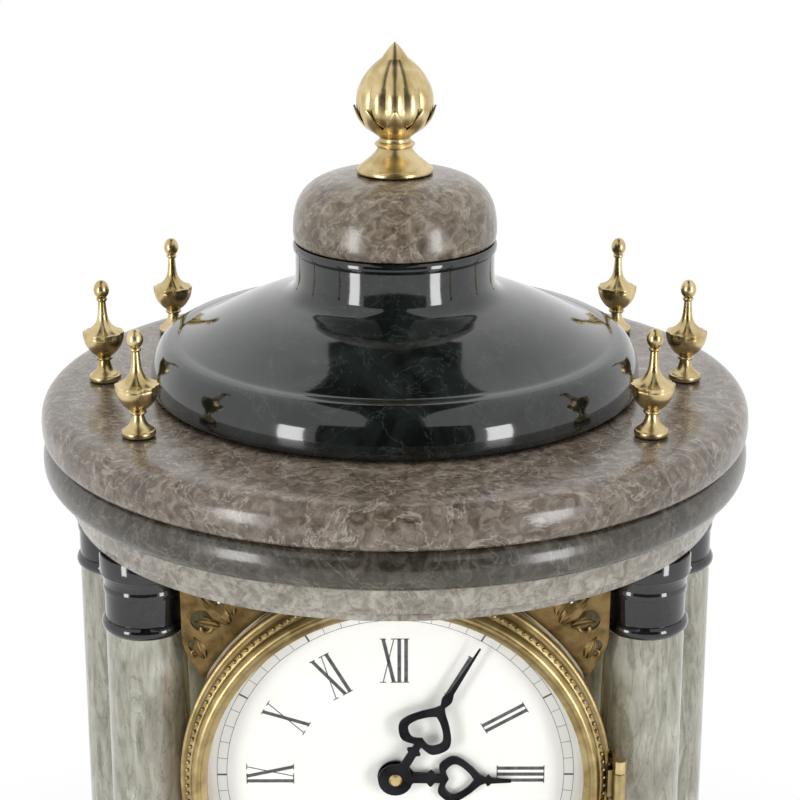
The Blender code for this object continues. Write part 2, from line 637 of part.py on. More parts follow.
def make_drum(dial_axis):
    """The gilt case of the movement: a tube with a ledge for the dial, hung by two saddles."""
    inner = DRUM_RADIUS - DRUM_WALL
    ledge_back = DIAL_FORWARD - DIAL_THICKNESS - GAP - DIAL_LEDGE_LENGTH
    ledge_front = ledge_back + DIAL_LEDGE_LENGTH
    flange_back = DIAL_FORWARD - DRUM_FLANGE_LENGTH
    outline = [
        (inner, DRUM_REAR), (DRUM_RADIUS, DRUM_REAR), (DRUM_RADIUS, flange_back),
        (DRUM_FLANGE_RADIUS, flange_back), (DRUM_FLANGE_RADIUS, DIAL_FORWARD),
        (DIAL_RADIUS + GAP, DIAL_FORWARD), (DIAL_RADIUS + GAP, ledge_front),
        (DIAL_LEDGE_RADIUS, ledge_front), (DIAL_LEDGE_RADIUS, ledge_back),
        (inner, ledge_back),
    ]
    drum = turned(outline, LARGE_SIDES)
    top = FRIEZE_BOTTOM - GAP - DIAL_CENTRE_HEIGHT
    additions = []
    for forward in SADDLE_FORWARDS:
        near = forward - SADDLE_LENGTH / 2
        low = math.sqrt(DRUM_RADIUS**2 - (SADDLE_WIDTH / 2) ** 2) - DRUM_WALL / 2
        additions.append(block((-SADDLE_WIDTH / 2, low, near), (SADDLE_WIDTH / 2, top, near + SADDLE_LENGTH)))
    additions += hinge_ears(BEZEL_HINGE_X, BEZEL_HINGE_FORWARD, BEZEL_EAR_X, DIAL_FORWARD - EAR_WALL)
    additions += hinge_ears(DOOR_HINGE_X, DOOR_HINGE_FORWARD, DOOR_EAR_X, DRUM_REAR + DRUM_FLANGE_LENGTH)
    inset = JOIN / 2
    for side in (-1, 1):
        ends = (side * (KNUCKLE_HALF_LENGTH + GAP + inset), side * (KNUCKLE_HALF_LENGTH + EAR_LENGTH))
        root = (DRUM_FLANGE_RADIUS - DRUM_WALL * 2, min(ends), DIAL_FORWARD - EAR_WALL - inset)
        additions.append(block(root, (BEZEL_EAR_X + EAR_WALL / 2, max(ends), DIAL_FORWARD - inset)))
    drum = joined(drum, *additions)
    slot_middle = PENDULUM_FORWARD + EYE_THICKNESS / 2
    slot = block(
        (-SLOT_HALF_WIDTH, -DRUM_RADIUS - SEE_THROUGH, slot_middle - SLOT_LENGTH / 2),
        (SLOT_HALF_WIDTH, -inner + SEE_THROUGH * 2, slot_middle + SLOT_LENGTH / 2),
    )
    place("drum_case", cut(drum, slot), "gilt", dial_axis)


def make_bezel(dial_axis):
    """The hinged bezel, the domed glass in its rebate, and the rear door."""
    rebate = GLASS_RADIUS + REBATE_GAP
    lip = BEZEL_DEPTH - (BEZEL_DEPTH - GLASS_SETBACK) / 2
    profile = [(BEZEL_RADIUS * r, BEZEL_BACK + BEZEL_DEPTH * h) for r, h in BEZEL_SHARES]
    profile += [
        (DIAL_OPENING_RADIUS, BEZEL_BACK + lip),
        (DIAL_OPENING_RADIUS, BEZEL_BACK + GLASS_SETBACK + GLASS_THICKNESS / 2),
        (rebate, BEZEL_BACK + GLASS_SETBACK + GLASS_THICKNESS / 2 - GAP),
        (rebate, BEZEL_BACK),
    ]
    ring = turned(profile, LARGE_SIDES)
    bezel = hinge_knuckle(
        ring, BEZEL_HINGE_X, BEZEL_HINGE_FORWARD, BEZEL_RADIUS - HINGE_RADIUS, BEZEL_BACK + JOIN,
        BEZEL_HINGE_FORWARD,
    )
    moved(bezel, -BEZEL_HINGE_X, 0, -BEZEL_HINGE_FORWARD)
    hinge = empty("bezel_hinge_axis", (BEZEL_HINGE_X, 0, BEZEL_HINGE_FORWARD))
    hinge.parent = dial_axis
    place("bezel", bezel, "gilt", hinge)
    place("bezel_glass", make_glass(), "glass", hinge, (-BEZEL_HINGE_X, 0, -BEZEL_HINGE_FORWARD))
    door = turned(tube(DOOR_RADIUS, DOOR_FRONT - DOOR_THICKNESS, DOOR_FRONT), LARGE_SIDES)
    door = hinge_knuckle(
        door, DOOR_HINGE_X, DOOR_HINGE_FORWARD, DOOR_RADIUS - HINGE_RADIUS * 3, DOOR_HINGE_FORWARD,
        DOOR_FRONT - DOOR_THICKNESS / 2,
    )
    moved(door, -DOOR_HINGE_X, 0, -DOOR_HINGE_FORWARD)
    door_hinge = empty("rear_door_hinge_axis", (DOOR_HINGE_X, 0, DOOR_HINGE_FORWARD))
    door_hinge.parent = dial_axis
    place("rear_door", door, "gilt", door_hinge)


def make_glass():
    """A shallow dome of even thickness, whose flat rim sits in the bezel's rebate."""
    back = BEZEL_BACK + GLASS_SETBACK - GLASS_THICKNESS
    under = [(GLASS_RADIUS, back)]
    over = [(GLASS_RADIUS, back + GLASS_THICKNESS)]
    dome_radius = DIAL_OPENING_RADIUS - GAP
    for i in range(GLASS_RINGS):
        share = 1 - i / GLASS_RINGS
        rise = GLASS_CROWN * (1 - share**2)
        under.append((dome_radius * share, back + rise))
        over.append((dome_radius * share, back + GLASS_THICKNESS + rise))
    outline = [(0, back + GLASS_CROWN)] + list(reversed(under)) + over
    return turned(outline + [(0, back + GLASS_THICKNESS + GLASS_CROWN)], LARGE_SIDES)


def make_surround(dial_axis):
    """The pierced gilt plate that fills the corners over the bezel, fixed under the frieze."""
    ring = DRUM_FLANGE_RADIUS + GAP
    top = FRIEZE_BOTTOM - GAP - DIAL_CENTRE_HEIGHT
    toe_x = SURROUND_HALF_WIDTH - SURROUND_TOE_INSET
    toe_y = top - SURROUND_TOE
    start = math.atan2(toe_y, math.sqrt(ring**2 - toe_y**2))
    sweep = math.pi - 2 * start
    arc = [polar(ring + GAP, start + sweep * i / SURROUND_ARC_STEPS) for i in range(SURROUND_ARC_STEPS + 1)]
    right = [(SURROUND_HALF_WIDTH, top - SURROUND_SHOULDER), (SURROUND_HALF_WIDTH, top)]
    left = [(-x, y) for x, y in reversed(right)]
    edge = [(toe_x, toe_y)] + right + left + [(-toe_x, toe_y)] + list(reversed(arc))
    holes = []
    for side in (-1, 1):
        for x_share, y_share, size_share in SCROLL_HOLE_SHARES:
            x = side * SURROUND_HALF_WIDTH * x_share
            y = top - SURROUND_SHOULDER * y_share
            holes.append(circle(SCROLL_HOLE_RADIUS * size_share, ARBOR_SIDES, x, y))
    mesh = plate([edge] + holes, SURROUND_BACK, SURROUND_BACK + SURROUND_THICKNESS)
    place("dial_surround", mesh, "old_gilt", dial_axis)


def make_dial(dial_axis):
    holes = [circle(HOUR_PIPE_RADIUS + RUNNING_GAP, ARBOR_SIDES)]
    for x in (BARREL_X, -BARREL_X):
        holes.append(circle(WINDING_HOLE_RADIUS, ARBOR_SIDES, x, BARREL_Y))
    dial = plate([circle(DIAL_RADIUS, LARGE_SIDES)] + holes, DIAL_FORWARD - DIAL_THICKNESS, DIAL_FORWARD)
    place("dial", dial, "enamel", dial_axis)


def make_plates(dial_axis):
    """The two plates. The front one reaches the drum by lugs. The back one carries pillars and posts."""
    shared_holes = [
        circle(ARBOR_RADIUS + RUNNING_GAP, ARBOR_SIDES),
        circle(PIVOT_HOLE_RADIUS, ARBOR_SIDES, THIRD_X, THIRD_Y),
        circle(PIVOT_HOLE_RADIUS, ARBOR_SIDES, 0, ESCAPE_Y),
    ]
    barrel_holes = [circle(BARREL_BORE_RADIUS, ARBOR_SIDES, x, BARREL_Y) for x in (BARREL_X, -BARREL_X)]
    anchor_hole = circle(ANCHOR_HOLE_RADIUS, ARBOR_SIDES, 0, PIVOT_RISE)
    front_top = FRONT_PLATE_FORWARD + PLATE_THICKNESS
    edge = circle(PLATE_RADIUS, MEDIUM_SIDES)
    front = plate([edge] + shared_holes + barrel_holes + [anchor_hole], FRONT_PLATE_FORWARD, front_top)
    lugs = []
    for turn in LUG_TURNS:
        low = (PLATE_RADIUS - PLATE_THICKNESS, -LUG_WIDTH / 2, FRONT_PLATE_FORWARD)
        high = (DRUM_RADIUS - DRUM_WALL - GAP * 2, LUG_WIDTH / 2, front_top - JOIN)
        lugs.append(moved(block(low, high), turn=turn))
    post = turned(tube(MOTION_POST_RADIUS, front_top - JOIN, HOUR_WHEEL_LEVEL + PINION_LENGTH), ARBOR_SIDES)
    place("front_plate", joined(front, *lugs, moved(post, MINUTE_X, MINUTE_Y)), "brass", dial_axis)

    back_top = BACK_PLATE_FORWARD + PLATE_THICKNESS
    back = plate([edge] + shared_holes + barrel_holes + [anchor_hole], BACK_PLATE_FORWARD, back_top)
    additions = []
    for turn in PILLAR_TURNS:
        x, y = polar(PILLAR_RING_RADIUS, turn)
        pillar = turned(tube(PILLAR_RADIUS, back_top - JOIN, FRONT_PLATE_FORWARD - GAP), ARBOR_SIDES)
        additions.append(moved(pillar, x, y))
    additions += back_cock_pieces()
    bell_post_far = BELL_TOP_FORWARD - PLATE_THICKNESS
    bell_post = turned(tube(BELL_POST_RADIUS, bell_post_far, BACK_PLATE_FORWARD + JOIN), ARBOR_SIDES)
    additions.append(moved(bell_post, BELL_OFFSET, -BELL_DROP))
    hammer_post_far = BELL_FORWARD - HAMMER_HEAD_LENGTH
    hammer_post = turned(tube(HAMMER_POST_RADIUS, hammer_post_far, BACK_PLATE_FORWARD + JOIN), ARBOR_SIDES)
    additions.append(moved(hammer_post, HAMMER_X, HAMMER_POST_Y))
    place("back_plate", joined(back, *additions), "brass", dial_axis)


def back_cock_pieces():
    """The bracket behind the back plate, whose stud carries the pendulum's eye."""
    low = PIVOT_RISE + COCK_RISE
    bar = block(
        (-COCK_HALF_WIDTH, PIVOT_RISE + COCK_RISE / 2, BACK_PLATE_FORWARD - COCK_THICKNESS / 2),
        (COCK_HALF_WIDTH, low + COCK_THICKNESS, BACK_PLATE_FORWARD + PLATE_THICKNESS - JOIN),
    )
    reach = block(
        (-COCK_HALF_WIDTH + JOIN, low, COCK_FORWARD - COCK_THICKNESS + JOIN),
        (COCK_HALF_WIDTH - JOIN, low + COCK_THICKNESS - JOIN, BACK_PLATE_FORWARD),
    )
    drop = block(
        (-COCK_HALF_WIDTH, PIVOT_RISE - STUD_RADIUS * 2, COCK_FORWARD - COCK_THICKNESS),
        (COCK_HALF_WIDTH, low + COCK_THICKNESS, COCK_FORWARD),
    )
    stud_end = PENDULUM_FORWARD + EYE_THICKNESS + GAP
    stud = turned(tube(STUD_RADIUS, COCK_FORWARD - JOIN, stud_end), ARBOR_SIDES)
    return [bar, reach, drop, moved(stud, 0, PIVOT_RISE)]


def square(side):
    half = side / 2
    return [(-half, -half), (half, -half), (half, half), (-half, half)]


def make_barrels(dial_axis):
    """Two mainspring barrels, their great wheels on different levels, each with its winding arbor."""
    bore = circle(BARREL_BORE_RADIUS, ARBOR_SIDES)
    going_drum = GOING_WHEEL_LEVEL + WHEEL_THICKNESS
    strike_wheel = STRIKE_BARREL_LEVEL + BARREL_LENGTH
    levels = {
        "going": (GOING_WHEEL_LEVEL, going_drum, going_drum + BARREL_LENGTH, BARREL_X, BARREL_TURN + math.pi),
        "strike": (strike_wheel, STRIKE_BARREL_LEVEL, strike_wheel, -BARREL_X, 0),
    }
    back_face = BACK_PLATE_FORWARD + JOIN
    square_from = FRONT_PLATE_FORWARD + PLATE_THICKNESS + GAP
    for train, (wheel_level, low, high, x, phase) in levels.items():
        teeth = wheel_outline(GREAT_TEETH, GREAT_MODULE, phase)
        great = plate([teeth], wheel_level, wheel_level + WHEEL_THICKNESS)
        overlap = JOIN / 2
        drum = turned(tube(BARREL_RADIUS, low - overlap, high + overlap), MEDIUM_SIDES)
        long_bore = plate([bore], low - BARREL_LENGTH, high + BARREL_LENGTH)
        barrel = cut(joined(great, drum), long_bore)
        place(f"{train}_barrel", barrel, "brass", dial_axis, (x, BARREL_Y, 0))
        shaft = turned(tube(BARREL_ARBOR_RADIUS, back_face, square_from + JOIN), ARBOR_SIDES)
        square_to = DIAL_FORWARD - DIAL_THICKNESS - WINDING_SETBACK
        key_square = plate([square(WINDING_SQUARE)], square_from, square_to)
        place(f"{train}_arbor", joined(shaft, key_square), "steel", dial_axis, (x, BARREL_Y, 0))


def arbor_between_plates():
    """A thin arbor with a pivot in each plate."""
    low = BACK_PLATE_FORWARD + JOIN
    high = FRONT_PLATE_FORWARD + PLATE_THICKNESS - JOIN
    shoulder_low = BACK_PLATE_FORWARD + PLATE_THICKNESS + GAP
    shoulder_high = FRONT_PLATE_FORWARD - GAP
    return turned(
        [
            (0, low), (PIVOT_RADIUS, low), (PIVOT_RADIUS, shoulder_low),
            (THIN_ARBOR_RADIUS, shoulder_low), (THIN_ARBOR_RADIUS, shoulder_high),
            (PIVOT_RADIUS, shoulder_high), (PIVOT_RADIUS, high), (0, high),
        ],
        ARBOR_SIDES,
    )


def wheel_at(level, teeth, module, mesh_turn):
    """A wheel at a level, with a tooth towards the pinion that it drives."""
    return plate([wheel_outline(teeth, module, mesh_turn)], level, level + WHEEL_THICKNESS)


def pinion_at(wheel_level, leaves, module, mesh_turn):
    """A pinion round its wheel's level, with the space between two leaves towards that wheel."""
    low = wheel_level - PINION_SET_BACK
    return plate([pinion_outline(leaves, module, mesh_turn + math.pi / leaves)], low, low + PINION_LENGTH)


def make_train(dial_axis):
    """The going train from the centre wheel to the escape wheel."""
    wheel = wheel_at(CENTRE_WHEEL_LEVEL, CENTRE_TEETH, CENTRE_MODULE, THIRD_TURN)
    pinion = pinion_at(GOING_WHEEL_LEVEL, CENTRE_LEAVES, GREAT_MODULE, BARREL_TURN)
    minute_front = DIAL_FORWARD + MINUTE_HAND_RISE + HAND_THICKNESS + GAP * 2
    arbor = turned(tube(ARBOR_RADIUS, BACK_PLATE_FORWARD + JOIN, minute_front), ARBOR_SIDES)
    place("centre_wheel", joined(arbor, wheel, pinion), "brass", dial_axis)

    pinion = pinion_at(CENTRE_WHEEL_LEVEL, THIRD_LEAVES, CENTRE_MODULE, THIRD_TURN + math.pi)
    to_escape = math.atan2(ESCAPE_Y - THIRD_Y, -THIRD_X)
    wheel = wheel_at(THIRD_WHEEL_LEVEL, THIRD_TEETH, THIRD_MODULE, to_escape)
    third = joined(arbor_between_plates(), wheel, pinion)
    place("third_wheel", third, "brass", dial_axis, (THIRD_X, THIRD_Y, 0))

    pinion = pinion_at(THIRD_WHEEL_LEVEL, ESCAPE_LEAVES, THIRD_MODULE, to_escape + math.pi)
    step = math.tau / ESCAPE_TEETH
    teeth = []
    for i in range(ESCAPE_TEETH):
        teeth.append(polar(ESCAPE_RADIUS, i * step))
        teeth.append(polar(ESCAPE_RADIUS - ESCAPE_TOOTH, (i + ESCAPE_LEAN_SHARE) * step))
    wheel = plate([teeth], ESCAPE_WHEEL_LEVEL, ESCAPE_WHEEL_LEVEL + WHEEL_THICKNESS)
    place("escape_wheel", joined(arbor_between_plates(), wheel, pinion), "brass", dial_axis, (0, ESCAPE_Y, 0))


def make_anchor(dial_axis):
    """The pallets over the escape wheel, their arbor through the back plate, and the crutch behind it."""
    swing_drop = PIVOT_RISE - ESCAPE_Y
    reach = ESCAPE_RADIUS + PALLET_GAP
    tip_x = reach * math.sin(PALLET_SPREAD)
    tip_y = reach * math.cos(PALLET_SPREAD) - swing_drop
    edge = [
        (tip_x, tip_y), (tip_x + ANCHOR_ARM, tip_y + ANCHOR_ARM / 2), (tip_x + ANCHOR_ARM, tip_y / 2),
        (ANCHOR_ARM * 2, ANCHOR_ARM * 2), (-ANCHOR_ARM * 2, ANCHOR_ARM * 2), (-tip_x - ANCHOR_ARM, tip_y / 2),
        (-tip_x - ANCHOR_ARM, tip_y + ANCHOR_ARM / 2), (-tip_x, tip_y), (-tip_x + ANCHOR_ARM / 2, tip_y / 2),
        (0, -ANCHOR_ARM * 2), (tip_x - ANCHOR_ARM / 2, tip_y / 2),
    ]
    low = ESCAPE_WHEEL_LEVEL - (ANCHOR_THICKNESS - WHEEL_THICKNESS) / 2
    pallets = plate([edge], low, low + ANCHOR_THICKNESS)
    front_end = FRONT_PLATE_FORWARD + PLATE_THICKNESS - JOIN
    crutch_back = CRUTCH_FORWARD - CRUTCH_THICKNESS
    arbor = turned(tube(ARBOR_RADIUS, crutch_back + JOIN / 2, front_end), ARBOR_SIDES)
    crutch = block(
        (-CRUTCH_HALF_WIDTH, -CRUTCH_LENGTH, crutch_back),
        (CRUTCH_HALF_WIDTH, CRUTCH_HALF_WIDTH * 2, CRUTCH_FORWARD),
    )
    inner = PENDULUM_ROD_RADIUS + GAP * 2
    outer = inner + FORK_THICKNESS
    pieces = [pallets, crutch]
    fork_y = FORK_LENGTH - CRUTCH_LENGTH
    inset = JOIN / 2
    fork_low = (-outer, -CRUTCH_LENGTH + inset, crutch_back + inset)
    pieces.append(block(fork_low, (outer, fork_y, CRUTCH_FORWARD - inset)))
    for side in (-1, 1):
        near, far = sorted((side * inner, side * outer))
        low_corner = (near, -CRUTCH_LENGTH + JOIN, CRUTCH_FORWARD - FORK_REACH)
        pieces.append(block(low_corner, (far, fork_y - inset, CRUTCH_FORWARD - JOIN)))
    place("anchor", joined(arbor, *pieces), "steel", dial_axis, (0, PIVOT_RISE, 0))


def make_pendulum(dial_axis):
    """The rod hangs by its eye on the cock's stud. The bob slides on the rod above its rating nut."""
    pivot = empty("pendulum_pivot", (0, PIVOT_RISE, PENDULUM_FORWARD))
    pivot.parent = dial_axis
    eye = plate(
        [circle(EYE_RADIUS, ARBOR_SIDES), circle(EYE_BORE_RADIUS, ARBOR_SIDES)],
        -EYE_THICKNESS / 2,
        EYE_THICKNESS / 2,
    )
    bottom = -PENDULUM_LENGTH - BOB_RADIUS
    nut_low = bottom - RATING_NUT_HEIGHT - GAP
    rod = turned(
        [
            (0, nut_low), (RATING_NUT_RADIUS, nut_low), (RATING_NUT_RADIUS, bottom - GAP),
            (PENDULUM_ROD_RADIUS, bottom - GAP), (PENDULUM_ROD_RADIUS, -EYE_RADIUS + JOIN),
            (0, -EYE_RADIUS + JOIN),
        ],
        ARBOR_SIDES,
    )
    rod.transform(Matrix.Rotation(-math.pi / 2, 4, "X"))
    place("pendulum_rod", joined(eye, rod), "brass", pivot)
    bob = turned(shaped(BOB_SHARES, BOB_RADIUS, BOB_THICKNESS), MEDIUM_SIDES)
    moved(bob, 0, 0, -BOB_THICKNESS / 2)
    bore = turned(tube(BOB_BORE_RADIUS, -BOB_RADIUS - SEE_THROUGH, BOB_RADIUS + SEE_THROUGH), ARBOR_SIDES)
    bore.transform(Matrix.Rotation(-math.pi / 2, 4, "X"))
    place("pendulum_bob", cut(bob, bore), "gilt", pivot, (0, -PENDULUM_LENGTH, 0))


def make_motion_work(dial_axis):
    """Cannon pinion, minute wheel and hour wheel, which turn the hands at twelve to one."""
    bore = circle(CANNON_BORE_RADIUS, ARBOR_SIDES)
    toward_minute = MINUTE_WHEEL_TURN
    toward_centre = toward_minute + math.pi
    leaves = pinion_outline(CANNON_LEAVES, MOTION_MODULE, toward_minute + math.pi / CANNON_LEAVES)
    cannon = plate([leaves], CANNON_LEVEL, CANNON_LEVEL + CANNON_LENGTH)
    pipe_top = DIAL_FORWARD + MINUTE_HAND_RISE - GAP
    pipe = turned(tube(CANNON_PIPE_RADIUS, CANNON_LEVEL + JOIN, pipe_top), ARBOR_SIDES)
    cannon = cut(joined(cannon, pipe), plate([bore], CANNON_LEVEL - SEE_THROUGH, pipe_top + SEE_THROUGH))
    place("cannon_pinion", cannon, "steel", dial_axis)

    wheel = wheel_at(CANNON_LEVEL + MINUTE_WHEEL_RISE, MINUTE_TEETH, MOTION_MODULE, toward_centre)
    leaves = pinion_outline(MINUTE_LEAVES, HOUR_MODULE, toward_centre + math.pi / MINUTE_LEAVES)
    pinion = plate([leaves], CANNON_LEVEL + WHEEL_THICKNESS, HOUR_WHEEL_LEVEL + PINION_LENGTH / 2)
    hole = circle(MOTION_BORE_RADIUS, ARBOR_SIDES)
    own_bore = plate([hole], CANNON_LEVEL - SEE_THROUGH, HOUR_WHEEL_LEVEL + SEE_THROUGH)
    place("minute_wheel", cut(joined(wheel, pinion), own_bore), "brass", dial_axis, (MINUTE_X, MINUTE_Y, 0))

    wheel = wheel_at(HOUR_WHEEL_LEVEL, HOUR_TEETH, HOUR_MODULE, toward_minute)
    pipe_top = DIAL_FORWARD + HOUR_HAND_RISE - GAP
    pipe = turned(tube(HOUR_PIPE_RADIUS, HOUR_WHEEL_LEVEL + JOIN, pipe_top), ARBOR_SIDES)
    hole = circle(HOUR_BORE_RADIUS, ARBOR_SIDES)
    own_bore = plate([hole], HOUR_WHEEL_LEVEL - SEE_THROUGH, pipe_top + SEE_THROUGH)
    place("hour_wheel", cut(joined(wheel, pipe), own_bore), "brass", dial_axis)


def make_hands(dial_axis):
    """Two pierced hands, which stand at about five past three."""
    hour = (HOUR_HAND_LENGTH, HOUR_RING_PLACE_SHARE, HOUR_HAND_RISE, HOUR_BORE_RADIUS, HOUR_AT_REST)
    minute = (
        MINUTE_HAND_LENGTH, MINUTE_RING_PLACE_SHARE, MINUTE_HAND_RISE, CANNON_BORE_RADIUS, MINUTE_AT_REST,
    )
    for name, (length, ring_share, rise, hole, turn) in {"hour_hand": hour, "minute_hand": minute}.items():
        ring_place = length * ring_share
        edge = hand_outline(length, ring_place, HAND_RING_RADIUS, HAND_BAR_HALF_WIDTH, HAND_TIP_HALF_WIDTH)
        piercing = circle(HAND_RING_RADIUS - HAND_RING_WIDTH, ARBOR_SIDES, 0, ring_place)
        low = DIAL_FORWARD + rise
        mesh = plate([edge, circle(hole, ARBOR_SIDES), piercing], low, low + HAND_THICKNESS)
        place(name, mesh, "blued_steel", dial_axis, turn=-turn)


def make_strike(dial_axis):
    """The bell on its post behind the movement and the hammer beside it."""
    outside = [(BELL_RADIUS * r, -BELL_DEPTH * h) for r, h in BELL_SHARES]
    inside = [((BELL_RADIUS - BELL_WALL) * r, -(BELL_DEPTH - BELL_WALL) * h) for r, h in BELL_SHARES]
    top = [(BELL_HOLE_RADIUS, -BELL_DEPTH), (BELL_HOLE_RADIUS, -(BELL_DEPTH - BELL_WALL))]
    bell = turned(inside + list(reversed(top)) + list(reversed(outside)), MEDIUM_SIDES)
    place("bell", bell, "brass", dial_axis, (BELL_OFFSET, -BELL_DROP, BELL_FORWARD))

    level = BELL_FORWARD - HAMMER_HEAD_LENGTH / 2
    head = turned(tube(HAMMER_HEAD_RADIUS, level, level + HAMMER_HEAD_LENGTH), ARBOR_SIDES)
    moved(head, 0, HAMMER_REACH)
    arm_level = level + HAMMER_HEAD_LENGTH / 3
    arm_end = (HAMMER_ARM_HALF_WIDTH, HAMMER_REACH, arm_level + WHEEL_THICKNESS)
    arm = block((-HAMMER_ARM_HALF_WIDTH, 0, arm_level), arm_end)
    boss = turned(tube(HAMMER_BOSS_RADIUS, arm_level - JOIN, arm_level + WHEEL_THICKNESS + JOIN), ARBOR_SIDES)
    bore = turned(tube(HAMMER_BORE_RADIUS, arm_level - SEE_THROUGH, arm_level + SEE_THROUGH), ARBOR_SIDES)
    hammer = cut(joined(boss, head, arm), bore)
    place("hammer", hammer, "steel", dial_axis, (HAMMER_X, HAMMER_POST_Y, 0))


clear_scene()
make_case()
dial_centre = empty("dial_axis", (0, 0, DIAL_CENTRE_HEIGHT), facing_front=True)
make_drum(dial_centre)
make_bezel(dial_centre)
make_surround(dial_centre)
make_dial(dial_centre)
make_plates(dial_centre)
make_barrels(dial_centre)
make_train(dial_centre)
make_anchor(dial_centre)
make_pendulum(dial_centre)
make_motion_work(dial_centre)
make_hands(dial_centre)
make_strike(dial_centre)
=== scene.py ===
"""The looks of the portico clock: stones, gilt mounts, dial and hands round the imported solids. Metres."""

import math

import bmesh
import bpy
from mathutils import Matrix, Vector
from mathutils.geometry import tessellate_polygon


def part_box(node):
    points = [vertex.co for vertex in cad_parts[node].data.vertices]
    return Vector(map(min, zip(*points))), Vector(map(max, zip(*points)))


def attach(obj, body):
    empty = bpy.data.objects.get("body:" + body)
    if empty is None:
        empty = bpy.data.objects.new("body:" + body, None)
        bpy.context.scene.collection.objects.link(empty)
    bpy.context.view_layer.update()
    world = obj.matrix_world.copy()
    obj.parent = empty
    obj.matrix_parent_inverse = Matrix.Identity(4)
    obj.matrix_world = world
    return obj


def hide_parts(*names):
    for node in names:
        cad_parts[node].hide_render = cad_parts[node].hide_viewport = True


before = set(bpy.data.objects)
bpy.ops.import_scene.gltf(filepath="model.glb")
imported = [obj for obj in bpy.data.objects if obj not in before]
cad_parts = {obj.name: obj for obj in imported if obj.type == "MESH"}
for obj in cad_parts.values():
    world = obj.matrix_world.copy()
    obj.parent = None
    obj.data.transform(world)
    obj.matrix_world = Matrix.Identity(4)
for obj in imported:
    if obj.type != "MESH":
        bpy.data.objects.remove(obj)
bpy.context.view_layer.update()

MM = 0.001
COLUMNS = range(1, 7)
FEET = range(1, 5)

# How finely the round pieces are made
WIDE_SIDES = 160
MEDIUM_SIDES = 72
SMALL_SIDES = 40
CURVE_STEPS = 5
SMOOTH_ANGLE = math.radians(38)
FLAT_ANGLE = math.radians(0.5)
BEVEL_ANGLE = math.radians(35)

# The photograph's camera, from a perspective fit of its ellipses
CAMERA_BACK = 0.6063
CAMERA_RISE = 0.1989
CAMERA_PITCH = math.radians(18.7)
CAMERA_YAW = math.radians(0.14)
CAMERA_LENS = 95.3
SENSOR = 36
CAMERA_NEAR = 0.01

# The studio
FLOOR_SIZE = 12
FLOOR_GREY = 0.86
FADE_START = 0.14
FADE_END = 0.42
FADE_LEAST_SHARE = 0.45
SOFTBOX_DISTANCE = 1.05
SOFTBOX_HEIGHT = 0.32
SOFTBOX_TURN = math.radians(46)
SOFTBOX_WIDTH = 0.22
SOFTBOX_TALL = 0.54
SOFTBOX_POWER = 3.6
LIGHT_AIM_RISE = 0.06
TOP_LIGHT_HEIGHT = 1.5
TOP_LIGHT_BACK = 0.15
TOP_LIGHT_SIZE = 0.9
TOP_LIGHT_POWER = 8.0
CARD_DISTANCE = 1.5
CARD_WIDTH = 2.1
CARD_TALL = 1.1
CARD_FOOT = CARD_TALL / 50
CANOPY_WIDTH = 0.76
CANOPY_HEIGHT = 1.7
CANOPY_BACK = 0.9
AMBIENT = 0.52

# Printed and applied detail
PRINT_RISE = 0.04 * MM
BEVEL = 0.15 * MM
SAME_POINT = BEVEL / 50

# How wide the blotches of each material are, and how far its relief stands up
STONE_CLOUD = 14 * MM
STONE_CLOT = 3.4 * MM
STONE_GRAIN = 0.9 * MM
STONE_VEIN = 22 * MM
STONE_RELIEF = 0.05 * MM
BLACK_CLOUD = 18 * MM
BLACK_VEIN = 26 * MM
BLACK_SMEAR = 9 * MM
SHAFT_STREAK = 4.2 * MM
SHAFT_CLOUD = 16 * MM
SHAFT_BLUSH = 9 * MM
SHAFT_VEIN = 13 * MM
SHAFT_RELIEF = 0.04 * MM
METAL_PATCH = 7 * MM
METAL_CREVICE = 1.6 * MM
METAL_GRAIN = 0.7 * MM
METAL_RELIEF = 0.03 * MM
OLD_GILT_PATCH = 5 * MM
OLD_GILT_CREVICE = 3.2 * MM
BRASS_GRAIN = 2.4 * MM
BRASS_PATCH = 11 * MM
BRASS_RELIEF = 0.02 * MM
ENAMEL_CLOUD = 24 * MM
ENAMEL_RIPPLE = 6 * MM
ENAMEL_RELIEF = 0.03 * MM
PRINT_WEAR = 1.6 * MM
GLASS_SMEAR = 20 * MM


def place_of(node):
    """Middle, radius and heights of an upright round node."""
    low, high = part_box(node)
    middle = (low + high) / 2
    return middle.x, middle.y, (high.x - low.x) / 2, low.z, high.z


# Materials


def material(name, roughness, metallic=0.0, colour=(0.5, 0.5, 0.5)):
    made = bpy.data.materials.new(name)
    made.use_nodes = True
    shader = made.node_tree.nodes["Principled BSDF"]
    shader.inputs["Base Color"].default_value = (*colour, 1)
    shader.inputs["Roughness"].default_value = roughness
    shader.inputs["Metallic"].default_value = metallic
    return made


def add_node(made, kind, **settings):
    node = made.node_tree.nodes.new(kind)
    for key, value in settings.items():
        setattr(node, key, value)
    return node


def link(made, source, target):
    made.node_tree.links.new(source, target)


def shader_of(made):
    return made.node_tree.nodes["Principled BSDF"]


def coordinates(made, stretch=(1, 1, 1)):
    """The object's own coordinates, which are metres in the clock's frame."""
    texture = add_node(made, "ShaderNodeTexCoord")
    mapping = add_node(made, "ShaderNodeMapping")
    mapping.inputs["Scale"].default_value = stretch
    link(made, texture.outputs["Object"], mapping.inputs["Vector"])
    return mapping.outputs["Vector"]


def noise(made, vector, size, detail=4.0, distortion=0.0, roughness=0.55):
    """Noise whose blotches are about as wide as size."""
    node = add_node(made, "ShaderNodeTexNoise")
    node.inputs["Scale"].default_value = 1 / size
    node.inputs["Detail"].default_value = detail
    node.inputs["Roughness"].default_value = roughness
    node.inputs["Distortion"].default_value = distortion
    link(made, vector, node.inputs["Vector"])
    return node.outputs["Fac"]


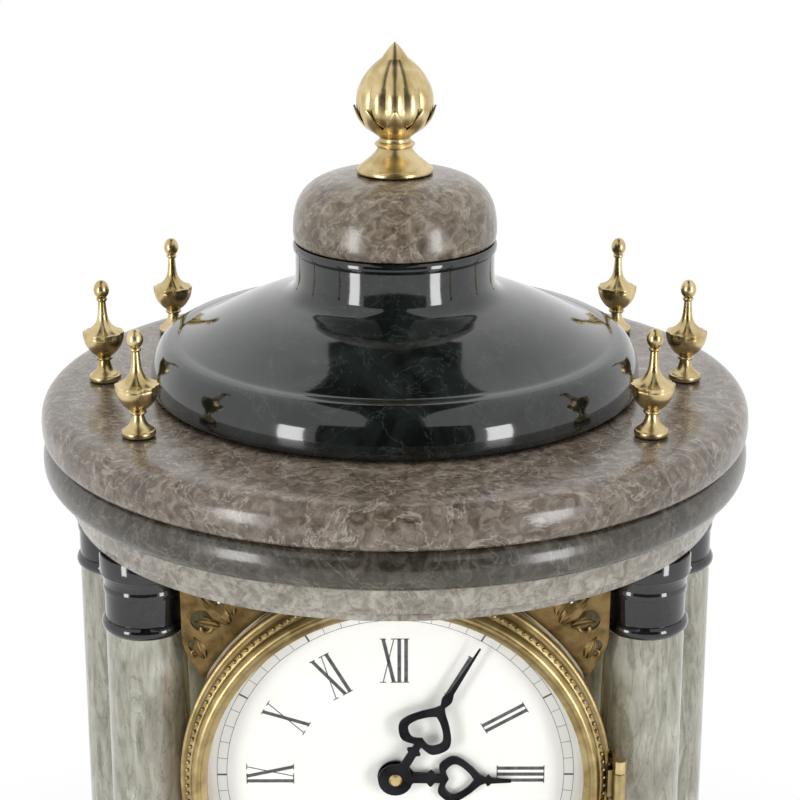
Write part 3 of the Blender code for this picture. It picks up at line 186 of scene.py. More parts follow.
def ramp(made, value, stops):
    """A colour ramp. Each stop is a place and a colour, or a place and a grey."""
    node = add_node(made, "ShaderNodeValToRGB")
    elements = node.color_ramp.elements
    while len(elements) < len(stops):
        elements.new(0.5)
    for element, (place, colour) in zip(elements, stops):
        element.position = place
        element.color = (*colour, 1) if isinstance(colour, tuple) else (colour, colour, colour, 1)
    link(made, value, node.inputs["Fac"])
    return node.outputs["Color"]


def mixed(made, share, first, second, blend="MIX"):
    """Two colours mixed. A share or a colour is a socket or a plain value."""
    node = add_node(made, "ShaderNodeMix", data_type="RGBA", blend_type=blend)
    colour_inputs = [i for i in node.inputs if i.type == "RGBA"]
    for socket, value in zip([node.inputs[0]] + colour_inputs, (share, first, second)):
        if isinstance(value, bpy.types.NodeSocket):
            link(made, value, socket)
        elif isinstance(value, tuple):
            socket.default_value = (*value, 1)
        else:
            socket.default_value = value
    return [o for o in node.outputs if o.type == "RGBA"][0]


def scaled(made, value, low, high):
    node = add_node(made, "ShaderNodeMapRange")
    node.inputs["To Min"].default_value = low
    node.inputs["To Max"].default_value = high
    link(made, value, node.inputs["Value"])
    return node.outputs["Result"]


def bumped(made, value, height, strength=1.0):
    node = add_node(made, "ShaderNodeBump")
    node.inputs["Distance"].default_value = height
    node.inputs["Strength"].default_value = strength
    link(made, value, node.inputs["Height"])
    link(made, node.outputs["Normal"], shader_of(made).inputs["Normal"])


def polished(made, coat, coat_roughness):
    shader_of(made).inputs["Coat Weight"].default_value = coat
    shader_of(made).inputs["Coat Roughness"].default_value = coat_roughness


def brown_stone(name, dark, middle, light, vein=(0.50, 0.46, 0.40)):
    """Mottled brown-grey marble with pale clots, dark grains and thin veins, polished."""
    made = material(name, 0.26)
    vector = coordinates(made)
    clouds = noise(made, vector, STONE_CLOUD, 5.0, 0.6)
    clots = noise(made, vector, STONE_CLOT, 6.0, 0.9, 0.62)
    grains = noise(made, vector, STONE_GRAIN, 3.0)
    colour = ramp(made, clots, [(0.30, dark), (0.50, middle), (0.70, light)])
    shade = ramp(made, clouds, [(0.30, 0.72), (0.70, 1.16)])
    colour = mixed(made, 0.85, colour, shade, "MULTIPLY")
    speck = ramp(made, grains, [(0.30, 0.62), (0.42, 1.0)])
    colour = mixed(made, 0.6, colour, speck, "MULTIPLY")
    lines = ramp(
        made, noise(made, vector, STONE_VEIN, 7.0, 1.6, 0.6), [(0.488, 0.0), (0.5, 1.0), (0.512, 0.0)],
    )
    colour = mixed(made, scaled(made, lines, 0.0, 0.55), colour, vein)
    link(made, colour, shader_of(made).inputs["Base Color"])
    link(made, scaled(made, clots, 0.20, 0.34), shader_of(made).inputs["Roughness"])
    bumped(made, clots, STONE_RELIEF, 0.35)
    polished(made, 0.35, 0.12)
    return made


def black_marble(name, base, cloud, vein, vein_share):
    """Black marble, mirror-polished, with faint green clouds and hair veins."""
    made = material(name, 0.07)
    vector = coordinates(made)
    clouds = ramp(made, noise(made, vector, BLACK_CLOUD, 6.0, 1.2, 0.6), [(0.40, base), (0.72, cloud)])
    lines = ramp(
        made, noise(made, vector, BLACK_VEIN, 8.0, 2.2, 0.62), [(0.490, 0.0), (0.5, 1.0), (0.508, 0.0)],
    )
    colour = mixed(made, scaled(made, lines, 0.0, vein_share), clouds, vein)
    link(made, colour, shader_of(made).inputs["Base Color"])
    smear = noise(made, vector, BLACK_SMEAR, 3.0)
    link(made, scaled(made, smear, 0.05, 0.13), shader_of(made).inputs["Roughness"])
    polished(made, 0.5, 0.04)
    return made


def column_marble(name):
    """Grey-green marble whose veins run up the shafts, with a few rosy stretches."""
    made = material(name, 0.22)
    along = coordinates(made, (1, 1, 0.22))
    plain = coordinates(made)
    streaks = noise(made, along, SHAFT_STREAK, 6.0, 1.4, 0.6)
    clouds = noise(made, plain, SHAFT_CLOUD, 5.0, 0.8)
    colour = ramp(made, streaks, [
        (0.28, (0.185, 0.175, 0.130)), (0.44, (0.325, 0.315, 0.250)), (0.58, (0.425, 0.420, 0.350)),
        (0.75, (0.54, 0.545, 0.475)),
    ])
    rosy = ramp(made, noise(made, along, SHAFT_BLUSH, 4.0, 1.0), [(0.55, 0.0), (0.72, 1.0)])
    colour = mixed(made, scaled(made, rosy, 0.0, 0.35), colour, (0.45, 0.33, 0.29))
    colour = mixed(made, 0.7, colour, ramp(made, clouds, [(0.32, 0.70), (0.66, 1.12)]), "MULTIPLY")
    lines = ramp(
        made, noise(made, along, SHAFT_VEIN, 8.0, 2.4, 0.6), [(0.484, 0.0), (0.5, 1.0), (0.514, 0.0)],
    )
    colour = mixed(made, scaled(made, lines, 0.0, 0.55), colour, (0.10, 0.105, 0.08))
    link(made, colour, shader_of(made).inputs["Base Color"])
    link(made, scaled(made, streaks, 0.16, 0.30), shader_of(made).inputs["Roughness"])
    bumped(made, streaks, SHAFT_RELIEF, 0.3)
    polished(made, 0.4, 0.08)
    return made


def worn_metal(name, bright, dull, roughness, grime=0.75, patch=METAL_PATCH, crevice=METAL_CREVICE):
    """Metal that is bright where it is touched, dull in patches and dark in its hollows."""
    made = material(name, roughness, 1.0)
    vector = coordinates(made)
    patches = noise(made, vector, patch, 5.0, 0.4)
    fine = noise(made, vector, METAL_GRAIN, 3.0)
    colour = ramp(made, patches, [(0.34, dull), (0.62, bright)])
    hollow = add_node(made, "ShaderNodeAmbientOcclusion", samples=4)
    hollow.inputs["Distance"].default_value = crevice
    shade = ramp(made, hollow.outputs["AO"], [(0.30, 1.0 - grime), (0.85, 1.0)])
    colour = mixed(made, 1.0, colour, shade, "MULTIPLY")
    link(made, colour, shader_of(made).inputs["Base Color"])
    link(made, scaled(made, patches, roughness * 0.75, roughness * 1.45), shader_of(made).inputs["Roughness"])
    bumped(made, fine, METAL_RELIEF, 0.25)
    return made


def brushed_brass(name, colour, dull, roughness):
    """Grained plate brass, with the marks of a fine stone."""
    made = material(name, roughness, 1.0)
    vector = coordinates(made)
    grain = noise(made, coordinates(made, (1, 1, 14)), BRASS_GRAIN, 4.0)
    patches = noise(made, vector, BRASS_PATCH, 4.0)
    link(made, ramp(made, patches, [(0.32, dull), (0.66, colour)]), shader_of(made).inputs["Base Color"])
    link(made, scaled(made, grain, roughness * 0.7, roughness * 1.5), shader_of(made).inputs["Roughness"])
    bumped(made, grain, BRASS_RELIEF, 0.3)
    return made


def enamel_white(name):
    """Fired white enamel, very slightly warm and uneven."""
    made = material(name, 0.12)
    vector = coordinates(made)
    clouds = noise(made, vector, ENAMEL_CLOUD, 4.0)
    colour = ramp(made, clouds, [(0.3, (0.845, 0.840, 0.800)), (0.7, (0.885, 0.880, 0.845))])
    link(made, colour, shader_of(made).inputs["Base Color"])
    bumped(made, noise(made, vector, ENAMEL_RIPPLE, 2.0), ENAMEL_RELIEF, 0.25)
    polished(made, 0.6, 0.03)
    return made


def dial_black(name):
    """Fired black of the numerals, a little thin in places."""
    made = material(name, 0.3)
    worn = noise(made, coordinates(made), PRINT_WEAR, 4.0)
    colour = ramp(made, worn, [(0.3, (0.035, 0.035, 0.038)), (0.75, (0.13, 0.13, 0.135))])
    link(made, colour, shader_of(made).inputs["Base Color"])
    return made


def clear_glass(name):
    """Thin old glass: mostly see-through, with a mirror that grows towards its edge."""
    made = material(name, 0.02, 0.0, (0.97, 0.985, 0.975))
    shader = shader_of(made)
    shader.inputs["Transmission Weight"].default_value = 1.0
    shader.inputs["IOR"].default_value = 1.0
    shader.inputs["Alpha"].default_value = 0.10
    smear = noise(made, coordinates(made), GLASS_SMEAR, 3.0)
    link(made, scaled(made, smear, 0.01, 0.05), shader.inputs["Roughness"])
    return made


MATERIALS = {
    "case_stone": brown_stone("case_stone", (0.052, 0.036, 0.024), (0.150, 0.118, 0.088),
                              (0.270, 0.232, 0.188)),
    # A darker copy of the case stone: painted shade on the cornice's lower ring, where it turns under
    "shaded_ring_stone": brown_stone("shaded_ring_stone", (0.020, 0.016, 0.010), (0.058, 0.048, 0.034),
                              (0.110, 0.098, 0.076), (0.2, 0.19, 0.16)),
    "frieze_stone": brown_stone("frieze_stone", (0.150, 0.125, 0.095), (0.300, 0.272, 0.225),
                                (0.46, 0.44, 0.39)),
    "cap_stone": brown_stone("cap_stone", (0.060, 0.042, 0.026), (0.180, 0.142, 0.100), (0.330, 0.285, 0.22)),
    "dome_marble": black_marble("dome_marble", (0.004, 0.005, 0.005), (0.018, 0.024, 0.022),
                                (0.12, 0.15, 0.13), 0.22),
    "column_black": black_marble("column_black", (0.005, 0.005, 0.006), (0.018, 0.018, 0.021),
                                 (0.10, 0.10, 0.10), 0.18),
    "column_marble": column_marble("column_marble"),
    "gilt": worn_metal("gilt", (0.74, 0.60, 0.33), (0.46, 0.34, 0.14), 0.27),
    "gilt_bezel": worn_metal("gilt_bezel", (0.50, 0.39, 0.19), (0.29, 0.21, 0.085), 0.30),
    "old_gilt": worn_metal("old_gilt", (0.30, 0.205, 0.085), (0.13, 0.082, 0.032), 0.40, 0.9,
                           OLD_GILT_PATCH, OLD_GILT_CREVICE),
    "brass": brushed_brass("brass", (0.74, 0.58, 0.30), (0.58, 0.43, 0.19), 0.28),
    "bell_metal": brushed_brass("bell_metal", (0.66, 0.54, 0.36), (0.50, 0.40, 0.24), 0.24),
    "steel": brushed_brass("steel", (0.46, 0.46, 0.47), (0.30, 0.30, 0.31), 0.30),
    "hand_steel": worn_metal("hand_steel", (0.030, 0.030, 0.034), (0.012, 0.012, 0.014), 0.30, 0.5),
    "enamel": enamel_white("enamel"),
    "dial_black": dial_black("dial_black"),
    "glass": clear_glass("glass"),
}


# Shapes


def spline(points, steps=CURVE_STEPS):
    """A smooth line through the points, with steps pieces between each pair."""
    if len(points) < 3:
        return list(points)
    ends = [points[0]] + list(points) + [points[-1]]
    line = []
    for a, b, c, d in zip(ends, ends[1:], ends[2:], ends[3:]):
        for i in range(steps):
            t = i / steps
            line.append(tuple(
                0.5 * (
                    2 * q + (r - p) * t + (2 * p - 5 * q + 4 * r - s) * t**2 + (3 * q - p - 3 * r + s) * t**3
                )
                for p, q, r, s in zip(a, b, c, d)
            ))
    return line + [points[-1]]


def outline_of(stretch_shares, radius, low, high):
    """The (radius, height) outline that smooth stretches of shares describe. Stretches meet in corners."""
    line = []
    for stretch in stretch_shares:
        for r, h in spline(stretch):
            point = (max(r, 0) * radius, low + h * (high - low))
            if not line or math.dist(point, line[-1]) > SAME_POINT:
                line.append(point)
    return line


def mesh_from(shape, name):
    bmesh.ops.recalc_face_normals(shape, faces=shape.faces)
    mesh = bpy.data.meshes.new(name)
    shape.to_mesh(mesh)
    shape.free()
    mesh.shade_smooth()
    mesh.set_sharp_from_angle(angle=SMOOTH_ANGLE)
    return mesh


def turned_mesh(name, outline, sides, wave=None):
    """The outline turned round Z, closed on the axis, or into itself where it runs down a bore.

    wave(turn, share) scales the radius.
    """
    shape = bmesh.new()
    rings = []
    for index, (radius, height) in enumerate(outline):
        if radius <= 0:
            rings.append([shape.verts.new((0, 0, height))])
            continue
        ring = []
        for i in range(sides):
            turn = math.tau * i / sides
            r = radius * (wave(turn, index / (len(outline) - 1)) if wave else 1)
            ring.append(shape.verts.new((r * math.cos(turn), r * math.sin(turn), height)))
        rings.append(ring)
    bored = outline[0][0] > 0
    for low, high in zip(rings, rings[1:] + rings[:1] if bored else rings[1:]):
        for i in range(sides):
            j = (i + 1) % sides
            corners = [low[i % len(low)], low[j % len(low)], high[j % len(high)], high[i % len(high)]]
            corners = list(dict.fromkeys(corners))
            if len(corners) > 2:
                shape.faces.new(corners)
    return mesh_from(shape, name)


def plate_mesh(name, loops, low, high):
    """A flat piece between two levels. The first loop is its edge and the rest are its holes."""
    corners = [[Vector((x, y, 0)) / BEVEL for x, y in loop] for loop in loops]
    flat = [point for loop in loops for point in loop]
    shape = bmesh.new()
    under = [shape.verts.new((x, y, low)) for x, y in flat]
    over = [shape.verts.new((x, y, high)) for x, y in flat]
    for triangle in tessellate_polygon(corners):
        shape.faces.new([under[i] for i in triangle])
        shape.faces.new([over[i] for i in triangle])
    first = 0
    for loop in loops:
        for i in range(len(loop)):
            a = first + i
            b = first + (i + 1) % len(loop)
            shape.faces.new((under[a], under[b], over[b], over[a]))
        first += len(loop)
    bmesh.ops.dissolve_limit(shape, angle_limit=FLAT_ANGLE, verts=shape.verts, edges=shape.edges)
    return mesh_from(shape, name)


def tube_mesh(name, points, radii, sides=10):
    """A tube along the points, whose radius may change on the way, with round-capped ends."""
    shape = bmesh.new()
    rings = []
    last = len(points) - 1
    for i, (point, radius) in enumerate(zip(points, radii)):
        ahead = Vector(points[min(i + 1, last)]) - Vector(points[max(i - 1, 0)])
        turn = ahead.to_track_quat("Z", "Y").to_matrix()
        ring = []
        for k in range(sides):
            a = math.tau * k / sides
            ring.append(
                shape.verts.new(Vector(point) + turn @ Vector((radius * math.cos(a), radius * math.sin(a),
                                                               0)))
            )
        rings.append(ring)
    for low, high in zip(rings, rings[1:]):
        for k in range(sides):
            j = (k + 1) % sides
            shape.faces.new((low[k], low[j], high[j], high[k]))
    shape.faces.new(list(reversed(rings[0])))
    shape.faces.new(rings[-1])
    return mesh_from(shape, name)


def ball_mesh(name, radius, rings=10, sides=16):
    outline = [
        (radius * math.sin(math.pi * i / rings),
         -radius * math.cos(math.pi * i / rings)) for i in range(rings + 1)
    ]
    outline[0] = (0, -radius)
    outline[-1] = (0, radius)
    return turned_mesh(name, outline, sides)


def merged(name, parts):
    """One mesh of several, each with its own matrix."""
    shape = bmesh.new()
    for mesh, matrix in parts:
        copy = mesh.copy()
        copy.transform(matrix)
        shape.from_mesh(copy)
        bpy.data.meshes.remove(copy)
    mesh = bpy.data.meshes.new(name)
    shape.to_mesh(mesh)
    shape.free()
    mesh.shade_smooth()
    mesh.set_sharp_from_angle(angle=SMOOTH_ANGLE)
    return mesh


def show(name, mesh, finish, body, replaces=(), matrix=None, bevel=0):
    """One visible piece that rides on a body."""
    if matrix:
        mesh.transform(matrix)
    mesh.name = name
    mesh.materials.clear()
    mesh.materials.append(MATERIALS[finish])
    piece = bpy.data.objects.new(name, mesh)
    bpy.context.scene.collection.objects.link(piece)
    if bevel:
        edge = piece.modifiers.new("edge", "BEVEL")
        edge.width = bevel
        edge.segments = 2
        edge.limit_method = "ANGLE"
        edge.angle_limit = BEVEL_ANGLE
    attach(piece, body)
    if replaces:
        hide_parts(*replaces)
    return piece


def upright(name, node, stretch_shares, finish, sides, wave=None, bore=0):
    """A turned piece that stands where its node stands."""
    x, y, radius, low, high = place_of(node)
    line = outline_of(stretch_shares, radius, low, high)
    if line[-1][0] > 0:
        line = [(bore, line[0][1])] + line + [(bore, line[-1][1])]
    else:
        line = [(0, line[0][1])] + line
    mesh = turned_mesh(name, line, sides, wave)
    return show(name, mesh, finish, "case", [node], Matrix.Translation((x, y, 0)))


# The stone case. The stones are bored to inside the rod's surface, so no gap shows round it

ROD_BORE = (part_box("tie_rod")[1].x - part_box("tie_rod")[0].x) / 4

SLAB_SHARES = [
    [(0.972, 0.485), (0.986, 0.495), (0.996, 0.54), (1.0, 0.62), (1.0, 0.74), (0.996, 0.84), (0.984, 0.925),
     (0.966, 0.975), (0.940, 0.996), (0.915, 1.0)],
]
UNDER_RING_SHARES = [
    [(0.950, 0.0), (0.972, 0.012), (0.988, 0.055), (0.997, 0.125), (1.0, 0.21), (0.999, 0.31),
     (0.992, 0.40), (0.980, 0.455), (0.968, 0.48)],
]
FRIEZE_SHARES = [
    [(0.975, 0.0), (0.985, 0.03)], [(0.985, 0.03), (0.985, 0.17)],
    [(0.985, 0.17), (0.989, 0.22), (0.997, 0.27), (1.0, 0.33)],
    [(1.0, 0.33), (1.0, 0.90)], [(1.0, 0.90), (0.994, 0.96), (0.985, 1.0)],
]
DOME_SHARES = [
    [(0.960, 0.0), (0.988, 0.012), (0.999, 0.04), (1.0, 0.08), (0.997, 0.14), (0.988, 0.20), (0.972, 0.26),
     (0.950, 0.312), (0.925, 0.338)],
    [(0.925, 0.338), (0.885, 0.341)],
    [(0.885, 0.341), (0.862, 0.350), (0.80, 0.396), (0.69, 0.490), (0.585, 0.565), (0.500, 0.610),
     (0.442, 0.645), (0.413, 0.695), (0.404, 0.77), (0.403, 0.93)],
    [(0.403, 0.93), (0.412, 0.95), (0.412, 0.985), (0.405, 1.0)],
]
CAP_SHARES = [
    [(0.955, 0.0), (0.985, 0.02), (0.998, 0.09), (1.0, 0.22), (0.988, 0.40), (0.955, 0.58), (0.89, 0.74),
     (0.78, 0.875), (0.62, 0.965), (0.42, 1.0)],
]
PLINTH_SHARES = [
    [(0.968, 0.0), (0.990, 0.02), (1.0, 0.07)], [(1.0, 0.07), (1.0, 0.48)],
    [(1.0, 0.48), (0.994, 0.53), (0.982, 0.55)],
    [(0.982, 0.55), (0.982, 0.575)], [(0.982, 0.575), (0.955, 0.60), (0.944, 0.66), (0.940, 0.72)],
    [(0.940, 0.72), (0.938, 0.90)], [(0.938, 0.90), (0.932, 0.97), (0.915, 1.0)],
]
COLUMN_BASE_SHARES = [
    [(0.97, 0.0), (1.0, 0.03)], [(1.0, 0.03), (1.0, 0.26)], [(1.0, 0.26), (0.97, 0.30)],
    [(0.90, 0.31), (0.95, 0.36), (0.97, 0.45), (0.95, 0.54), (0.90, 0.59)],
    [(0.87, 0.60), (0.825, 0.66), (0.82, 0.74)], [(0.86, 0.76), (0.885, 0.83), (0.86, 0.90)],
    [(0.825, 0.91), (0.82, 1.0)],
]
SHAFT_SHARES = [
    [(0.985, 0.0), (1.0, 0.008)], [(1.0, 0.008), (1.0, 0.30), (0.99, 0.62), (0.955, 0.99)],
    [(0.955, 0.99), (0.94, 1.0)],
]
CAPITAL_SHARES = [
    [(0.945, 0.0), (0.985, 0.035), (1.0, 0.075), (0.985, 0.115), (0.945, 0.15)],
    [(0.915, 0.155), (0.912, 0.50)], [(0.935, 0.51), (0.945, 0.56), (0.935, 0.60)],
    [(0.925, 0.61), (0.945, 0.68), (0.99, 0.755)], [(1.0, 0.76), (1.0, 0.97)], [(1.0, 0.97), (0.98, 1.0)],
]
FOOT_SHARES = [
    [(0.46, 0.0), (0.56, 0.01), (0.72, 0.09), (0.75, 0.17), (0.66, 0.27), (0.50, 0.36), (0.46, 0.43)],
    [(0.50, 0.44), (0.50, 0.49)], [(0.56, 0.50), (0.82, 0.57), (0.97, 0.68), (1.0, 0.80), (0.97, 0.88)],
    [(0.97, 0.89), (0.97, 1.0)],
]


def make_stones():
    upright("base_stone", "base_plinth", PLINTH_SHARES, "case_stone", WIDE_SIDES)
    upright("frieze_stone", "frieze", FRIEZE_SHARES, "frieze_stone", WIDE_SIDES, bore=ROD_BORE)
    # The cornice's lower ring wears the darker stone, which paints the shade under the cornice
    upright(
        "cornice_under_ring", "cornice", UNDER_RING_SHARES, "shaded_ring_stone", WIDE_SIDES,
        bore=ROD_BORE,
    )
    upright("cornice_slab", "cornice", SLAB_SHARES, "case_stone", WIDE_SIDES, bore=ROD_BORE)
    upright("dome_stone", "dome", DOME_SHARES, "dome_marble", WIDE_SIDES, bore=ROD_BORE)
    upright("cap_stone", "dome_cap", CAP_SHARES, "cap_stone", WIDE_SIDES, bore=ROD_BORE)


def make_columns():
    for i in COLUMNS:
        upright(
            f"column_foot_{i}", f"column_base_{i}", COLUMN_BASE_SHARES, "column_black",
            MEDIUM_SIDES,
        )
        upright(
            f"shaft_{i}", f"column_shaft_{i}", SHAFT_SHARES, "column_marble", MEDIUM_SIDES,
        )
        upright(
            f"capital_{i}", f"column_capital_{i}", CAPITAL_SHARES, "column_black",
            MEDIUM_SIDES,
        )


# Gilt feet and finials

SMALL_FINIAL_SHARES = [
    [(0.72, 0.0), (0.77, 0.012), (0.78, 0.04)], [(0.78, 0.04), (0.74, 0.055)],
    [(0.66, 0.06), (0.60, 0.075), (0.42, 0.11), (0.30, 0.165), (0.27, 0.205)],
    [(0.36, 0.21), (0.40, 0.225), (0.36, 0.24)],
    [(0.34, 0.245), (0.62, 0.29), (0.86, 0.36), (0.97, 0.425), (0.99, 0.455)], [(1.0, 0.46), (1.0, 0.485)],
    [(0.90, 0.49), (0.66, 0.515), (0.44, 0.555), (0.30, 0.60), (0.235, 0.65), (0.20, 0.72), (0.18, 0.79)],
    [(0.24, 0.80), (0.26, 0.812), (0.24, 0.825)],
    [(0.20, 0.83), (0.32, 0.86), (0.37, 0.90), (0.33, 0.945), (0.20, 0.985), (0.0, 1.0)],
]
TOP_FINIAL_FOOT_SHARES = [
    [(0.95, 0.0), (1.0, 0.008), (1.0, 0.030)], [(0.98, 0.034), (0.96, 0.045)],
    [(0.92, 0.050), (0.78, 0.085), (0.62, 0.125), (0.50, 0.165), (0.44, 0.20)],
    [(0.48, 0.205), (0.53, 0.222), (0.48, 0.24)], [(0.42, 0.245), (0.40, 0.265)],
    [(0.42, 0.28), (0.52, 0.30), (0.66, 0.335), (0.76, 0.375)], [(0.74, 0.38), (0.55, 0.385)],
]
TOP_FINIAL_BULB_SHARES = [
    [(0.30, 0.30), (0.60, 0.335), (0.85, 0.40), (0.97, 0.47), (1.0, 0.545), (0.975, 0.62), (0.89, 0.69),
     (0.74, 0.765), (0.52, 0.835), (0.33, 0.88)],
    [(0.33, 0.88), (0.25, 0.915), (0.15, 0.955), (0.0, 1.0)],
]
BULB_LOBES = 12
BULB_LOBE_SIDES = 8
LOBE_DEPTH_SHARE = 0.07
LOBE_PLACE_SHARES = (0.05, 0.80)
RIB_COUNT = 10
RIB_DEPTH_SHARE = 0.10
RIB_PLACE_SHARES = (0.42, 0.62)
LEAF_COUNT = 8
LEAF_RADIUS_SHARES = (0.44, 0.66, 0.87, 0.985, 1.03)
LEAF_HEIGHT_SHARES = (0.295, 0.335, 0.395, 0.47, 0.52)
LEAF_WIDTH_SHARE = 0.74
LEAF_THICKNESS = 0.35 * MM


def gadroons(count, depth_share, from_share, to_share):
    """A wave for a turned mesh: lobes between two places on its outline."""
    def wave(turn, place):
        inside = (place - from_share) / (to_share - from_share)
        fade = math.sin(math.pi * inside) if 0 < inside < 1 else 0
        return 1 - depth_share * fade * (1 - abs(math.cos(count * turn / 2)))
    return wave


def leaf_ring(name, count, radii, heights, width, thickness):
    """Pointed leaves that lie against a bulb, their tips turned out."""
    shape = bmesh.new()
    rows = 7
    across = 5
    for leaf in range(count):
        turn = math.tau * leaf / count
        layers = []
        for skin in (0, thickness):
            grid = []
            for row in range(rows + 1):
                share = row / rows
                half = width * math.sin(math.pi * min(0.5 + share / 2, 0.985)) ** 0.8 / 2 * (1 - 0.15 * share)
                radius = spline_value(radii, share)
                height = spline_value(heights, share)
                line = []
                for col in range(across + 1):
                    side = 2 * col / across - 1
                    r = radius + skin + thickness * 0.9 * (1 - abs(side))
                    angle = turn + side * half / max(radius, thickness)
                    line.append(shape.verts.new((r * math.cos(angle), r * math.sin(angle), height)))
                grid.append(line)
            layers.append(grid)
        inner, outer = layers
        for row in range(rows):
            for col in range(across):
                shape.faces.new(
                    (outer[row][col], outer[row][col + 1], outer[row + 1][col + 1], outer[row + 1][col])
                )
                shape.faces.new(
                    (inner[row][col], inner[row + 1][col], inner[row + 1][col + 1], inner[row][col + 1])
                )
        rims = []
        for grid in layers:
            rim = [grid[0][c] for c in range(across + 1)] + [grid[r][across] for r in range(1, rows + 1)]
            rim += [grid[rows][c] for c in range(across - 1, -1, -1)]
            rim += [grid[r][0] for r in range(rows - 1, 0, -1)]
            rims.append(rim)
        rim_in, rim_out = rims
        for k in range(len(rim_in)):
            j = (k + 1) % len(rim_in)
            shape.faces.new((rim_in[k], rim_in[j], rim_out[j], rim_out[k]))
    return mesh_from(shape, name)


def spline_value(values, share):
    """A value read from evenly spaced ones."""
    place = share * (len(values) - 1)
    first = min(int(place), len(values) - 2)
    return values[first] + (values[first + 1] - values[first]) * (place - first)


def make_gilt_mounts():
    for i in FEET:
        upright(f"gilt_foot_{i}", f"foot_{i}", FOOT_SHARES, "gilt", SMALL_SIDES)
    for i in COLUMNS:
        ribs = gadroons(RIB_COUNT, RIB_DEPTH_SHARE, *RIB_PLACE_SHARES)
        upright(
            f"gilt_finial_{i}", f"small_finial_{i}", SMALL_FINIAL_SHARES, "gilt",
            SMALL_SIDES, ribs,
        )
    *_, radius, low, high = place_of("top_finial")
    height = high - low
    foot = outline_of(TOP_FINIAL_FOOT_SHARES, radius, low, high)
    foot = [(ROD_BORE, foot[0][1])] + foot + [(ROD_BORE, foot[-1][1])]
    show(
        "top_finial_foot", turned_mesh("foot", foot, MEDIUM_SIDES), "gilt", "case",
        ["top_finial"],
    )
    bulb = outline_of(TOP_FINIAL_BULB_SHARES, radius, low, high)
    lobes = gadroons(BULB_LOBES, LOBE_DEPTH_SHARE, *LOBE_PLACE_SHARES)
    bulb_mesh = turned_mesh("bulb", [(0, bulb[0][1])] + bulb, BULB_LOBES * BULB_LOBE_SIDES, lobes)
    show("top_finial_bulb", bulb_mesh, "gilt", "case")
    leaves = leaf_ring(
        "leaves", LEAF_COUNT, [radius * r for r in LEAF_RADIUS_SHARES],
        [low + height * h for h in LEAF_HEIGHT_SHARES], radius * LEAF_WIDTH_SHARE, LEAF_THICKNESS,
    )
    show("top_finial_leaves", leaves, "gilt", "case")


# Everything on the dial's axis is made facing up and then stood to face the front

DIAL_LOW, DIAL_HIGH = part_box("dial")
DIAL_RADIUS = (DIAL_HIGH.x - DIAL_LOW.x) / 2
CENTRE_HEIGHT = (DIAL_LOW.z + DIAL_HIGH.z) / 2
DIAL_FACE = -DIAL_LOW.y
FACING = Matrix.Translation((0, 0, CENTRE_HEIGHT)) @ Matrix.Rotation(math.pi / 2, 4, "X")


def forward(node):
    """How far in front of the columns' axis a node begins and ends."""
    low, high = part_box(node)
    return -high.y, -low.y


def circle(radius, sides, x=0, y=0):
    return [
        (x + radius * math.cos(math.tau * i / sides), y + radius * math.sin(math.tau * i / sides))
        for i in range(sides)
    ]


NUMERALS = ["XII", "I", "II", "III", "IIII", "V", "VI", "VII", "VIII", "IX", "X", "XI"]
NUMERAL_IN_SHARE = 0.520
NUMERAL_OUT_SHARE = 0.765
TRACK_SHARES = (0.865, 0.915)
NUMERAL_THICK = 1.05 * MM
NUMERAL_THIN = 0.30 * MM
NUMERAL_STEP = 1.95 * MM
NUMERAL_WIDTHS = {"I": NUMERAL_STEP, "V": NUMERAL_STEP * 2.05, "X": NUMERAL_STEP * 2.15}
NUMERAL_SIDE = NUMERAL_STEP * 0.28
SERIF = 0.28 * MM
SERIF_HALF = NUMERAL_STEP * 0.46
TRACK_LINE = 0.13 * MM
TRACK_TICK = 0.26 * MM
TICK_RISE = PRINT_RISE * 0.9
MINUTES = 60
ARBOR_HOLE = 3.5 * MM
EYELET_RADIUS = 3.5 * MM
EYELET_WIDTH = 0.55 * MM
EYELET_RISE = EYELET_WIDTH * 0.45
EYELET_SIDES = 12


def stroke(low, high, width):
    """The four corners of an upright stroke that leans from low to high."""
    half = width / 2
    return [
        (low[0] - half, low[1]), (low[0] + half, low[1]), (high[0] + half, high[1]),
        (high[0] - half, high[1]),
    ]


def numeral_strokes(text, height):
    """Strokes of a Roman numeral that stands on y = 0, centred on x = 0."""
    x = -sum(NUMERAL_WIDTHS[letter] for letter in text) / 2
    strokes = []
    for letter in text:
        middle = x + NUMERAL_WIDTHS[letter] / 2
        reach = NUMERAL_WIDTHS[letter] / 2 - NUMERAL_SIDE
        feet = []
        if letter == "I":
            strokes.append(stroke((middle, 0), (middle, height), NUMERAL_THICK))
            feet = [(middle, 0), (middle, height)]
        elif letter == "V":
            strokes.append(stroke((middle, 0), (middle - reach, height), NUMERAL_THICK))
            strokes.append(stroke((middle, 0), (middle + reach, height), NUMERAL_THIN))
            feet = [(middle - reach, height), (middle + reach, height)]
        else:
            strokes.append(stroke((middle + reach, 0), (middle - reach, height), NUMERAL_THICK))
            strokes.append(stroke((middle - reach, 0), (middle + reach, height), NUMERAL_THIN))
            feet = [(middle + side * reach, level) for side in (-1, 1) for level in (0, height)]
        for foot_x, level in feet:
            inner = SERIF if level == 0 else -SERIF
            low, high = sorted((level, level + inner))
            left = foot_x - SERIF_HALF
            right = foot_x + SERIF_HALF
            strokes.append([(left, low), (right, low), (right, high), (left, high)])
        x += NUMERAL_WIDTHS[letter]
    return strokes


